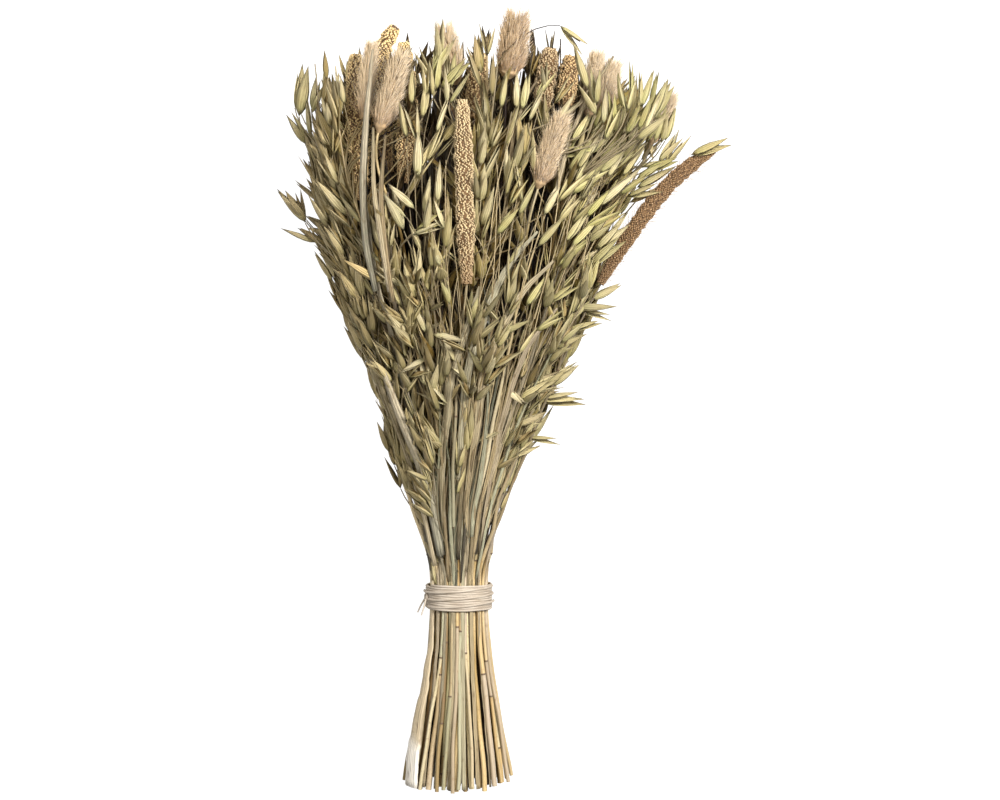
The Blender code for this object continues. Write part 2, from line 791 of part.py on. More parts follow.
def tail_mesh(name, head):
    """A hare's tail: a soft egg of pointed tufts that lie towards its tip."""
    sides, rings = TAIL_SIDES, TAIL_RINGS

    def place(angle, ring):
        share = ring / rings
        step = round(angle / (2 * math.pi) * sides)
        tuft = (step + ring) % 2 and 0 < ring < rings
        lean = TUFT_LEAN if tuft else 0.0
        point, along, side, other = along_head(head, min(1, share + lean))
        full = TAIL_RADIUS * math.sin(math.pi * min(1, 0.12 + 0.84 * share)) ** 0.6
        radius = 0 if ring in (0, rings) else full * (1.0 if tuft else TUFT_DIP)
        return Vector(point + radius * (math.cos(angle) * side + math.sin(angle) * other))

    return shaped_ball(name, sides, rings, place)


def leaf(stalk, collection):
    """A long dry leaf: a narrow grid bent along its line and thickened."""
    across, out = leaf_sides(stalk)
    rows = len(stalk.line) - 1
    cage = bmesh.new()
    bmesh.ops.create_grid(cage, x_segments=2, y_segments=rows, size=1)
    crease = 0.0 if stalk.name in FLOOR_LEAVES else LEAF_ARCH
    for vertex in cage.verts:
        row = round((vertex.co.y + 1) / 2 * rows)
        column = round(vertex.co.x)
        width = stalk.widths[row]
        arch = crease * width * (1 - abs(column)) if row >= len(LEAF_OUTSET) else 0
        vertex.co = Vector(stalk.line[row] + 0.5 * column * width * across[row] + arch * out[row])
    mesh = bpy.data.meshes.new(stalk.name)
    cage.to_mesh(mesh)
    cage.free()
    obj = add_object(stalk.name, mesh, stalk.kind, collection)
    wall = obj.modifiers.new("thickness", "SOLIDIFY")
    wall.thickness = LEAF_THICKNESS
    wall.offset = 0
    return obj


def binding(collection):
    """The twine binding: a turned band with a ridge for each turn of twine."""
    mesh = bpy.data.meshes.new("binding")
    cage = bmesh.new()
    inner = BINDING_RADIUS
    outer = BINDING_RADIUS + BINDING_THICKNESS
    pitch = BINDING_WIDTH / BINDING_TURNS
    profile = [(inner, -BINDING_WIDTH / 2)]
    for turn in range(BINDING_TURNS):
        start = -BINDING_WIDTH / 2 + turn * pitch
        profile.append((outer - TWINE_GROOVE, start))
        profile.append((outer, start + pitch / 2))
    profile.append((outer - TWINE_GROOVE, BINDING_WIDTH / 2))
    profile.append((inner, BINDING_WIDTH / 2))
    corners = [cage.verts.new((x, y, 0)) for x, y in profile]
    for k in range(len(corners)):
        cage.edges.new((corners[k], corners[(k + 1) % len(corners)]))
    cage.to_mesh(mesh)
    cage.free()
    obj = add_object("binding", mesh, "binding", collection)
    obj.location = (0, 0, TIE_HEIGHT)
    turned = obj.modifiers.new("turned", "SCREW")
    turned.axis = "Y"
    turned.steps = turned.render_steps = BINDING_STEPS
    turned.use_merge_vertices = True
    turned.merge_threshold = MERGE_DISTANCE
    turned.use_normal_calculate = True
    return obj


def knot(collection):
    """Adds the binding's knot and its two short ends to the pieces to join to it."""
    out = Vector((math.cos(KNOT_ANGLE), 0, math.sin(KNOT_ANGLE)))
    across = Vector((-out.z, 0, out.x))
    centre = Vector((0, 0, TIE_HEIGHT)) + out * (BINDING_RADIUS + BINDING_THICKNESS + KNOT_OUTSET)
    cage = bmesh.new()
    bmesh.ops.create_uvsphere(cage, u_segments=8, v_segments=6, radius=KNOT_RADIUS)
    bmesh.ops.scale(cage, vec=(1, 1.5, 0.8), verts=cage.verts)
    bmesh.ops.rotate(cage, matrix=Matrix.Rotation(-KNOT_ANGLE, 3, "Y"), verts=cage.verts)
    bmesh.ops.translate(cage, vec=centre, verts=cage.verts)
    mesh = bpy.data.meshes.new("knot_body")
    cage.to_mesh(mesh)
    cage.free()
    add_object("knot_body", mesh, "binding", collection)
    for number, slant in enumerate(KNOT_END_SLANTS):
        direction = (Vector((0, -1, 0)) * 0.9 + across * slant * 0.5 + out * 0.35).normalized()
        cage = bmesh.new()
        bmesh.ops.create_cone(
            cage, cap_ends=True, segments=5, radius1=0.8 * MM, radius2=0.5 * MM, depth=KNOT_END_LENGTH
        )
        bmesh.ops.rotate(cage, matrix=direction.to_track_quat("Z", "Y").to_matrix(), verts=cage.verts)
        bmesh.ops.translate(cage, vec=centre + direction * 0.46 * KNOT_END_LENGTH, verts=cage.verts)
        mesh = bpy.data.meshes.new(f"knot_end_{number}")
        cage.to_mesh(mesh)
        cage.free()
        add_object(f"knot_end_{number}", mesh, "binding", collection)


def join_pieces(jobs):
    """Joins each object with the pieces in its own collection by one Boolean union."""
    for obj, pieces in jobs:
        union = obj.modifiers.new("joined", "BOOLEAN")
        union.operation = "UNION"
        union.operand_type = "COLLECTION"
        union.collection = pieces
        union.solver = "MANIFOLD"
    bpy.context.view_layer.update()
    joined = [(obj, evaluated_mesh(obj)) for obj, _ in jobs]
    for obj, mesh in joined:
        obj.modifiers.clear()
        obj.data = mesh
    for _, pieces in jobs:
        for piece in list(pieces.objects):
            bpy.data.objects.remove(piece)
        bpy.data.collections.remove(pieces)


def pieces_collection(name, helpers):
    made = bpy.data.collections.new(name + "_pieces")
    helpers.children.link(made)
    return made


def stand_on_origin(objects):
    """Moves the bunch so that the middle of its footprint is the origin."""
    bpy.context.view_layer.update()
    corners = []
    for obj in objects:
        mesh = evaluated_mesh(obj)
        corners.extend(obj.matrix_world @ vertex.co for vertex in mesh.vertices)
        bpy.data.meshes.remove(mesh)
    corners = np.array(corners)
    low, high = corners.min(axis=0), corners.max(axis=0)
    shift = Vector(((low[0] + high[0]) / 2, (low[1] + high[1]) / 2, low[2]))
    for obj in objects:
        obj.location -= shift


def build():
    clear_scene()
    bunch = bpy.data.collections.new("dried_grass_bunch")
    helpers = bpy.data.collections.new("pieces")
    for collection in (bunch, helpers):
        bpy.context.scene.collection.children.link(collection)
    stalks = lay_out()
    husks = grow_husks(stalks)
    objects, jobs = [], []
    for stalk in stalks:
        if stalk.is_leaf():
            objects.append(leaf(stalk, bunch))
            continue
        obj = stem(stalk, bunch)
        objects.append(obj)
        pieces = pieces_collection(stalk.name, helpers)
        if stalk.kind == "oat":
            for number, husk in enumerate(husks[stalk.name]):
                name = f"{stalk.name}_husk_{number}"
                add_object(name, husk_mesh(name, husk), "oat", pieces)
        else:
            name = stalk.name + "_head"
            shape = millet_mesh if stalk.kind == "millet" else tail_mesh
            add_object(name, shape(name, stalk.head), stalk.kind, pieces)
        jobs.append((obj, pieces))
    band = binding(bunch)
    objects.append(band)
    band_pieces = pieces_collection("binding", helpers)
    knot(band_pieces)
    jobs.append((band, band_pieces))
    join_pieces(jobs)
    bpy.data.collections.remove(helpers)
    stand_on_origin(objects)


if __name__ == "__main__":
    build()
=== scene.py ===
"""A tied bunch of dried grasses, dressed in full around its frame of plain solids.

Oat stalks with papery spikelets, spikes of foxtail millet, soft hare's tails and long
dry leaves run through a winding of paper twine. The bunch lies on its side. Its stalks
are laid out by the same rule as the frame's solids, so each piece stays where its
solid is. In the layout the middle of the twine is over the origin, X runs across the
bunch, Y from the cut ends to the heads and Z up.
"""

import math

import bmesh
import bpy
import numpy as np
from bpy.props import FloatProperty, FloatVectorProperty, IntProperty, PointerProperty
from mathutils import Matrix, Vector


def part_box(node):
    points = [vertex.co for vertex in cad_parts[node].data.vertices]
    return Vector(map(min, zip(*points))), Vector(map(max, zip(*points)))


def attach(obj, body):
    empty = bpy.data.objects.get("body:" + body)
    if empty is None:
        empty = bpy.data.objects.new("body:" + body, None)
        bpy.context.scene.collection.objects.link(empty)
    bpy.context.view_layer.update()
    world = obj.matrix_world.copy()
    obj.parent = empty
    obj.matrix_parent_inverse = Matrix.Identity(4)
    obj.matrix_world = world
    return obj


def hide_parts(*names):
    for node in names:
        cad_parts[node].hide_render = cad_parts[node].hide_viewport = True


bl_info = {
    "name": "Dried grass bunch", "version": (1, 0, 0), "blender": (4, 5, 0),
    "location": "3D View > Sidebar > Dried bunch",
    "description": "Builds a tied bunch of dried oats, millet, hare's tails and leaves",
    "category": "Add Mesh",
}

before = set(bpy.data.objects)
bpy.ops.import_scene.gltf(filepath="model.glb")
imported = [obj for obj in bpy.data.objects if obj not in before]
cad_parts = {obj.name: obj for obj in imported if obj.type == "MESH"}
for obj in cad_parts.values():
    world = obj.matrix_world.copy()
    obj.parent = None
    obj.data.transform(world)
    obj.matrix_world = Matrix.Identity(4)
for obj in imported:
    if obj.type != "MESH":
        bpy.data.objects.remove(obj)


MM = 0.001
SEED = 7
# Where the random draws of each kind of piece start.
DRAWS = {
    "stalk": 100, "end": 300, "leaf": 400, "sheath": 401, "blade": 500, "tall": 560, "under": 580,
    "fibre": 600, "straw": 700, "fan": 800,
}
GOLDEN_ANGLE = math.radians(137.508)
GOLDEN_SHARE = 0.618034

# The bunch's outline along its length. Each row holds y, the half-width and the
# half-height of the ring of outermost stalks, and where its middle lies across
# the bunch and above the surface.
SECTIONS = MM * np.array(
    [
        (-124, 32.5, 28.2, -1, 29.4), (-11, 16.7, 16.7, 0, 34), (11, 16.7, 16.7, 0, 34),
        (60, 26.5, 23.5, 1, 38), (110, 41.5, 34, 6, 47.5), (165, 63, 48, 10, 61.5), (225, 91, 61, 11, 73),
        (285, 110, 67.5, 12, 80), (345, 112, 70, 16, 83),
    ]
)
LEVELS = SECTIONS[:, 0]
TIE_LEVELS = (1, 2)
TIE_HEIGHT = SECTIONS[1, 4]

# Places for the stalks inside the binding, in rings from the middle outwards, with
# each ring's size as a share of the outermost.
RING_COUNTS = (4, 10, 15, 21)
RING_SHARES = (0.19, 0.46, 0.73, 1)

# Round stems: full radius up to a little above the binding, then tapering to the
# neck of a head or to the tip of an oat's axis.
STEM_RADIUS = 2.1 * MM
TAIL_STEM_RADIUS = 2.05 * MM
TAPER_START = 20 * MM
NECK_RADIUS = 0.9 * MM
RACHIS_RADIUS = 1.35 * MM
RACHIS_TIP_RADIUS = 0.65 * MM

# How the stalks are moved apart: how far each may stray at first, the gap between
# stems, the room that an oat's husks want, and the samples along the bunch.
WANDER = 2.2 * MM
STEM_GAP = 0.45 * MM
CROWD_RADIUS = 9.5 * MM
HEAD_MARGIN = 1.5 * MM
FLOOR_ROOM = 10 * MM
TIP_STEP = 6 * MM
HEAD_APPROACH = 12 * MM
SAMPLES = MM * np.arange(-112, 376, 11)
SOFT_ROUNDS = 120
HARD_ROUNDS = 160
SOFT_PUSH = 0.12
HARD_PUSH = 0.2
SMOOTHING = 0.12
HOLD = 0.03

MILLET_RADIUS = 6.4 * MM
TAIL_RADIUS = 9 * MM
HEAD_CLEARANCE = 1.12

STRAND_SHARE = 0.2
LEAF_TIE_WIDTH = 3.3 * MM
LEAF_OUTSET = MM * np.array((0, 2.9, 2.9))

# How far up the oat stalks of each ring end, from the middle outwards, what share of
# each carries husks, and how many.
OAT_TOPS = (
    (352, 366, 344), (358, 350, 368, 340, 362, 346, 354), (346, 300, 338, 262, 350, 318),
    (344, 226, 300, 338, 196, 272, 350, 248),
)
HUSKED_SHARES = (0.45, 0.45, 0.55, 0.66)
LOWEST_HUSK = 60 * MM
HUSKS_BY_RING = (6, 7, 11, 12)
HUSK_HALF_WIDTH = 3.1 * MM
HUSK_LENGTHS = MM * np.array((22, 26))
HUSK_CLEARANCE = 0.35 * MM
HUSK_TRIES = 18
TIP_OVERLAP = 1.2 * MM
PEDICEL_RADIUS = 0.55 * MM
SHORT_PEDICEL = 4 * MM
# Lean in degrees and pedicel in millimetres: the first tries, then the closer ones.
WIDE_REACH = ((16, 34), (4, 22))
CLOSE_REACH = ((10, 20), (2, 7))

BINDING_RADIUS = 20.65 * MM
BINDING_THICKNESS = 1.5 * MM
BINDING_WIDTH = 17.6 * MM

KNOT_ANGLE = math.radians(160)
KNOT_OUTSET = 0.6 * MM
KNOT_END_LENGTH = 13 * MM
KNOT_END_SLANTS = (-0.5, 0.9)

# Heads of millet and hare's tail, each as its kind, the ring that holds its stem in
# the binding, and the x, y and z of its middle line from foot to tip.
HEADS = {
    "millet_front": ("millet", 2, ((7, 201, 128), (6, 256, 143), (5, 308, 153))),
    "millet_right": ("millet", 3, ((91, 204, 84), (119, 239, 88), (147, 274, 90), (163, 289, 92))),
    "millet_left_a": ("millet", 2, ((-59, 255, 100), (-62, 301, 106), (-62, 344, 110))),
    "millet_left_b": ("millet", 1, ((-44, 275, 82), (-50, 332, 89), (-47, 350, 94), (-38, 363, 100))),
    "millet_left_c": ("millet", 2, ((-33, 265, 106), (-30, 309, 112), (-32, 350, 116))),
    "millet_top": ("millet", 1, ((11, 302, 124), (15, 341, 130))),
    "millet_mid_a": ("millet", 2, ((52, 304, 124), (58, 343, 132))),
    "millet_mid_b": ("millet", 2, ((67, 310, 110), (71, 342, 115))),
    "millet_under_a": ("millet", 3, ((-30, 246, 24), (-37, 286, 20), (-42, 326, 19))),
    "millet_under_b": ("millet", 3, ((55, 238, 24), (64, 280, 21), (72, 318, 22))),
    "tail_right_c": ("tail", 3, ((121, 289, 105), (127, 304, 108), (133, 319, 110))),
    "tail_top": ("tail", 2, ((32, 326, 124), (35, 345, 128), (38, 364, 132))),
    "tail_mid": ("tail", 3, ((50, 257, 140), (57, 278, 146), (64, 298, 150))),
    "tail_left_b": ("tail", 2, ((-46, 291, 138), (-38, 314, 143), (-32, 336, 146))),
    "tail_left_a": ("tail", 1, ((-56, 300, 122), (-54, 323, 126), (-51, 345, 129))),
    "tail_top_left": ("tail", 0, ((0, 327, 100), (-4, 345, 104), (-8, 362, 107))),
    "tail_right_a": ("tail", 2, ((83, 308, 88), (86, 328, 92), (88, 347, 95))),
    "tail_right_b": ("tail", 3, ((88, 304, 122), (92, 319, 125), (96, 334, 128))),
    "tail_under": ("tail", 2, ((10, 285, 22), (11, 305, 20), (12, 325, 19))),
}

# Long leaves over the front of the bunch: place round the binding in degrees,
# full width, lift above the outer stalks, and the x and y that each follows.
FRONT_LEAVES = {
    "leaf_left": (
        (115.7, 7.2, 4.6),
        ((-13.5, 40), (-17, 82), (-24, 109), (-32, 134), (-40, 169), (-48, 200), (-53, 235), (-55, 266)),
    ),
    "leaf_mauve": (
        (132.9, 4.5, -0.6),
        ((-20, 65), (-27, 105), (-32, 140), (-36, 172), (-40, 213), (-41, 237), (-41, 256)),
    ),
    "leaf_centre": ((98.6, 5.5, 3.4), ((-9.5, 52), (-9, 98), (-6, 121), (-3, 145), (6, 171), (15, 199))),
    "leaf_sweep": ((81.4, 5, 3.4), ((1.5, 65), (4, 120), (9, 155), (19, 183), (33, 212), (50, 232))),
    "leaf_right": ((64.3, 5, 3.4), ((6, 69), (13, 113), (18, 148), (29, 175), (43, 198), (60, 215))),
    "leaf_patch": ((47.1, 8, 3.4), ((21, 78), (31, 124), (46, 165), (63, 187))),
}

# Leaves that the bunch lies on, flat on the surface under the heads: place round the
# binding in degrees, full width, and the x, y and z that each follows.
FLOOR_LEAF_START = 90 * MM
FLOOR_LEAVES = {
    "leaf_under_left": (
        (-107.1, 8),
        (
            (-13, 50, 8), (-18, 95, 3.2), (-26, 130, 0.45), (-38, 175, 0.45), (-50, 220, 0.45),
            (-58, 262, 0.45),
        ),
    ),
    "leaf_under_right": (
        (-72.9, 8),
        ((13, 50, 8), (20, 95, 3.2), (30, 130, 0.45), (46, 175, 0.45), (62, 220, 0.45), (74, 262, 0.45)),
    ),
}

# The torn pale sheath at the cut ends.
SHEATH_NAME = "pale_sheath"
SHEATH_ANGLE = 150
SHEATH_WIDTHS = MM * np.array((10.5, 3.3, 3.3))
SHEATH_OUTSET = MM * np.array((4.2, 2.9, 2.9))

# Which lines and spots of a piece are its straw, its finer twigs, its spikelets' spots
# and the middle line of its head.
STRAW, TWIG, SPOT, SPIKE = range(4)

TIE_MARGIN = Vector((BINDING_RADIUS + BINDING_THICKNESS, BINDING_WIDTH / 2, 0))
TIE_MARGIN.z = TIE_HEIGHT + BINDING_RADIUS + BINDING_THICKNESS
TO_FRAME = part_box("binding")[1] - TIE_MARGIN

# The camera in the layout: its place, and its height above the level at which the
# bunch's outline was measured. One picture width there is 650 mm.
CAMERA_AT = MM * np.array((27.3, 130, 1110))
CAMERA_DROP = 1050 * MM
PICTURE_WIDTH = 650 * MM
FILM_WIDTH = 36
FLOOR_SIZE = 12
LIT_PLACE = Vector((0, 0.02, 0.05))
SKY_COLOUR = (1, 0.82, 0.56, 1)

# The outline of the spikelets as the camera sees it: y with the left and right x,
# and x with the highest y.
OUTLINE = MM * np.array(
    [
        (13, -20, 20), (39, -24, 22), (65, -33, 26), (91, -41, 37), (117, -47, 51), (143, -54, 62),
        (169, -65, 75), (195, -79, 90), (221, -88, 98), (247, -94, 110), (273, -98, 118),
        (299, -101, 124), (325, -92, 130), (351, -82, 112), (372, -60, 60),
    ]
)
TOP_LINE = MM * np.array(
    [
        (-101, 340), (-72, 345), (-40, 362), (10, 364), (46, 362), (66, 360), (96, 348), (125, 346),
        (140, 326),
    ]
)

# The darkest painted shade, deep in the middle of the bunch.
DEEPEST_PAINTED_SHADE = 0.05

# Where leaves and stems show bare: a place across the bunch, and up to which y.
BARE_BELOW = ((-1, -0.7, -0.3, 0.5, 0.9, 1.1), MM * np.array((66, 98, 128, 146, 92, 62)))

# Heads that nothing hides from above, and how far spikelets keep off them.
OPEN_HEADS = (
    "millet_front", "millet_right", "millet_left_a", "millet_left_b", "tail_top", "tail_mid",
    "tail_left_b",
)
OPEN_MARGIN = 1.06

# Long side branches that fill out the bunch's edge and its front: how many at each side,
# along the top and over the front, and how far below its tip each leaves its stalk.
FANS = {"left": 16, "right": 20, "top": 22, "front": 36}
FAN_REACH = 95 * MM
BRANCH_LOW = 16 * MM
BRANCH_ROWS = 10

# Spikelets: half-width in mm, opening in degrees, curl, the second scale's share of
# the first one's length, and how many florets show.
SPIKELET_LENGTH = 24 * MM
SPIKELETS = (
    (2.2, 2.0, 0.0, 0.93, 0), (2.4, 5.5, 0.02, 0.9, 1), (2.6, 9, 0.04, 0.95, 1), (2.7, 14, 0.03, 0.88, 1),
    (1.7, 1.5, 0.0, 0.9, 0),
)
SPIKELET_SHARES = (0.3, 0.3, 0.18, 0.08, 0.14)
GLUME_SECTION = ((1, 0), (0.52, 0.8), (-0.52, 0.8), (-1, 0), (0, 0.35))
GLUME_RINGS = 6
GLUME_BELLY = 0.7
GLUME_TAPER = 1.1
GLUME_BULGE = 0.52
FLORET_SIDES = 4
FLORET_RINGS = 4
FLORET_LENGTH = 14.5 * MM
FLORET_RADIUS = 1.25 * MM
SINGLE_LENGTH = 23 * MM
EXTRA_BY_RING = (10, 20, 48, 86)
FAN_SPIKELETS = 7
HIGHEST = 160 * MM
EXTRA_LENGTHS = MM * np.array((20, 31))
EXTRA_TRIES = 9
EXTRA_OVERLAP = -1.9 * MM
EXTRA_FULLNESS = 0.7
TWIGS_BY_RING = (2, 3, 4, 5)
TWIG_ROWS = 5
PEDICEL_ENDS = (0.3 * MM, 0.22 * MM)
SHORTEST_PEDICEL = 1.5 * MM

STRAW_STEP = 7 * MM
# How straws waver: the length of each wave and its size, in mm.
STRAW_WAVES = ((105, 0.45), (47, 0.2))
# A knuckle's reach to either side, the rows that shape it as shares of that, and how
# much thicker the straw is there.
KNUCKLE_REACH = 1.1 * MM
KNUCKLE_STEPS = (-1.4, -1, -0.5, 0, 0.5, 1, 1.4)
KNUCKLE_SWELL = 0.16
# Where a straw's knuckles may be along it, from its cut end, and how likely each is.
KNUCKLE_RANGES = ((8, 70, 0.35), (72, 108, 0.5), (140, 200, 0.6), (215, 290, 0.6))

GRAIN_RADIUS = 0.7 * MM
GRAINS_PER_METRE = 19000
HAIR_RINGS = 3
HEAD_ROWS = 46
CORE_SIDES = 9
# How far grains and hairs stray in their place round the spike and in their lean, and how
# much their shade and their size vary.
TURN_JITTER = (-0.22, 0.22)
LEAN_JITTER = (-0.16, 0.16)
SHADE_JITTER = (0.78, 1.16)
SIZE_JITTER = (0.72, 1.18)
BLADE_STEP = 4 * MM
BLADE_COLUMNS = 8


def srgb(red, green, blue):
    """A colour given in display values, from 0 to 255, as linear values."""
    shares = np.array((red, green, blue)) / 255
    return np.where(shares <= 0.04045, shares / 12.92, ((shares + 0.055) / 1.055) ** 2.4)


STRAW_TINTS = np.array(
    [
        srgb(222, 196, 148), srgb(226, 210, 172), srgb(210, 190, 150), srgb(192, 186, 152),
        srgb(206, 186, 158), srgb(176, 150, 108), srgb(216, 186, 132),
    ]
)
UPPER_STRAW = srgb(178, 160, 122)
FIBRE_TINT = srgb(170, 146, 108)
HUSK_TINTS = {
    "olive": srgb(188, 173, 122), "green": srgb(170, 162, 98), "pale": srgb(208, 194, 154),
    "brown": srgb(160, 136, 92),
}
# How rusty some spikes are: 0 is the pale colour and 1 the rusty one; below 0 is lighter than pale, painted
# light on the left spikes, which lie in shadow.
MILLET_RUST_AND_PAINTED_LIGHT = {
    "millet_front": 0.0, "millet_right": 1.0, "millet_top": 0.1, "millet_left_a": -0.35,
    "millet_left_b": -0.25, "millet_left_c": -0.2,
}
# Spikes and tails that are lighter or darker than the rest, as factors on their tint.
# The left spikes are lightened as painted light against the shadow that falls on them.
HEAD_TONES_AND_PAINTED_LIGHT = {
    "millet_left_a": (1.45, 1.3, 1.05), "millet_left_b": (1.45, 1.3, 1.05),
    "millet_left_c": (1.45, 1.3, 1.05), "millet_mid_b": (1.3, 1.2, 1.0), "millet_top": (1.25, 1.15, 0.95),
    "millet_front": (1.1, 1.08, 1.04), "tail_top": (0.77, 0.68, 0.57), "tail_mid": (0.93, 0.9, 0.85),
}
# How far the middle of a spike is bowed aside, in mm.
SPIKE_BOWS = {"millet_right": (-4.2, 3.6, 0)}
MILLET_GIRTH = {"millet_front": 0.9, "millet_right": 0.8}
HIDDEN_MILLETS = ("millet_under_a", "millet_under_b")
# Bristles to a metre of spike, where a spike has more or fewer than the others.
MILLET_BRISTLES = {"millet_front": 500, "millet_right": 9000, "millet_top": 2500, "millet_left_a": 2500}
MILLET_CORE_DARK = srgb(64, 44, 24)
BRISTLE_TIP = srgb(222, 194, 150)
TAIL_CORE = (srgb(182, 154, 116), srgb(158, 130, 94))
LEAF_TINTS = {
    "leaf_left": (srgb(178, 164, 132), srgb(156, 144, 118)),
    "leaf_mauve": (srgb(196, 176, 140), srgb(178, 158, 132)),
    "leaf_centre": (srgb(186, 168, 130), srgb(176, 163, 130)),
    "leaf_sweep": (srgb(194, 182, 146), srgb(168, 160, 132)),
    "leaf_right": (srgb(184, 162, 122), srgb(176, 160, 126)),
    "leaf_patch": (srgb(186, 166, 130), srgb(168, 150, 122)),
    "leaf_under_left": (srgb(166, 156, 122), srgb(146, 134, 98)),
    "leaf_under_right": (srgb(170, 154, 120), srgb(150, 134, 98)),
}
BLADE_SHADES = (
    (srgb(190, 172, 138), srgb(164, 147, 110)), (srgb(170, 166, 136), srgb(150, 146, 112)),
    (srgb(196, 174, 132), srgb(164, 142, 98)), (srgb(164, 142, 104), srgb(124, 104, 70)),
    (srgb(146, 140, 118), srgb(186, 170, 140)),
)
# Blades that stand among the heads: width in mm, which shade, and the points of each.
TALL_BLADES = (
    (4.4, 4, ((-49, 197, 118), (-54, 225, 128), (-55, 250, 137), (-53, 290, 147), (-48, 338, 152))),
    (3.2, 0, ((-40, 196, 126), (-44, 225, 138), (-48, 258, 146), (-48, 292, 150))),
    (3.4, 3, ((-38, 190, 124), (-42, 222, 136), (-44, 252, 142), (-41, 288, 146))),
    (3.0, 0, ((60, 250, 132), (68, 282, 138), (80, 312, 138), (96, 338, 132))),
    (2.6, 3, ((30, 236, 132), (33, 270, 142), (40, 304, 148), (56, 330, 148))),
    (6.4, 4, ((-11, 29, 60), (-18, 65, 67), (-27, 97, 79), (-37, 123, 89), (-46, 149, 98))),
    (3.6, 0, ((-15, 22, 57), (-23, 60, 62), (-33, 95, 70), (-42, 122, 80), (-55, 156, 90))),
)
NARROWED_LEAVES = {"leaf_left": 0.72, "leaf_patch": 0.58}
SHEATH_WHITE = srgb(226, 218, 204)
SHEATH_BEIGE = srgb(190, 171, 138)
# A leaf's width near the winding: where along the bunch, and the share that is left.
LEAF_WAIST = (MM * np.array((-124, 0, 30, 75, 110)), (0.85, 0.75, 0.55, 0.75, 1))
# Narrow blades: the angle round the bunch in degrees, where each starts and how long it
# is in mm, its width in mm, how far it stands off the outer stalks and which shade.
CLINGING_BLADES = tuple(
    (
        52 + (number * 61.8) % 112, -6 + (number * 37) % 62, 70 + (number * 53) % 120,
        1.5 + ((number * 29) % 19) / 10, -1.5 + ((number * 17) % 45) / 10, number % 4,
    )
    for number in range(46)
)
# How much fuller or slimmer some tails are.
TAIL_FLUFF = {
    "tail_top": 1.34, "tail_left_a": 0.6, "tail_left_b": 0.9, "tail_mid": 0.9, "tail_right_a": 0.75,
    "tail_right_b": 0.75, "tail_right_c": 0.75,
}
HIDDEN_TAILS = ("tail_under", "tail_top_left", "tail_right_c")
FIBRES = 260
THREADS = 170
THREAD_TINT = srgb(196, 174, 130)
# Broad dark leaves deep in the bunch, dark sheets that stand in for the shade there: how many, from
# where to where along it, how far they spread and how deep they lie as shares of its size, and their tint.
UNDER_BLADES = 16
UNDER_REACH = (55 * MM, 338 * MM)
UNDER_SPREAD = 0.8
UNDER_DEPTH = 0.72
UNDER_SHADE_TINT = srgb(92, 74, 44)
# Windings of the twine: share of the turns, share of the width, lift in mm, tilt in
# degrees and unevenness in mm.
WINDINGS = ((1.0, 1.0, 0.0, 0.0, 0.9), (0.24, 0.8, 1.0, 7.0, 0.8))
# The twine's points to a turn, the scale of its unevenness and its sides.
TWINE_POINTS = 56
TWINE_STIR = 55.0
TWINE_SIDES = 7

# Further straws between and around the stalks: the share of the outermost ring at which
# each ring of them stands, and how many it has.
FILLER_RINGS = ((0.33, 5), (0.6, 9), (0.87, 15), (1.1, 22))
FILLER_RADII = MM * np.array((1.05, 1.5))
FILLER_TRIES = 14
# How dark the thinner straws are where the photo shows gaps between the straws, as painted shade for the
# gaps.
PAINTED_GAP_SHADES = (1.0, 0.8, 0.4, 0.16, 0.08)
STRAW_GIRTHS = (0.66, 0.98)
# How dark the narrow blades are, the darkest as painted shade that stands for gaps, how wide they are along
# their length, and where at the left, halfway down the cut straws, the photo shows a dark gap between the
# straws, painted as shade on the straws there.
CLINGING_TONE_AND_PAINTED_SHADE = (1.35, 1.1, 0.6, 0.15)
CLINGING_TAPER = (0.7, 0.9, 1, 1, 1, 0.95, 0.85, 0.75, 0.6, 0.4, 0.1)
PAINTED_DARK_GAP = (-17.8 * MM, -14.6 * MM)
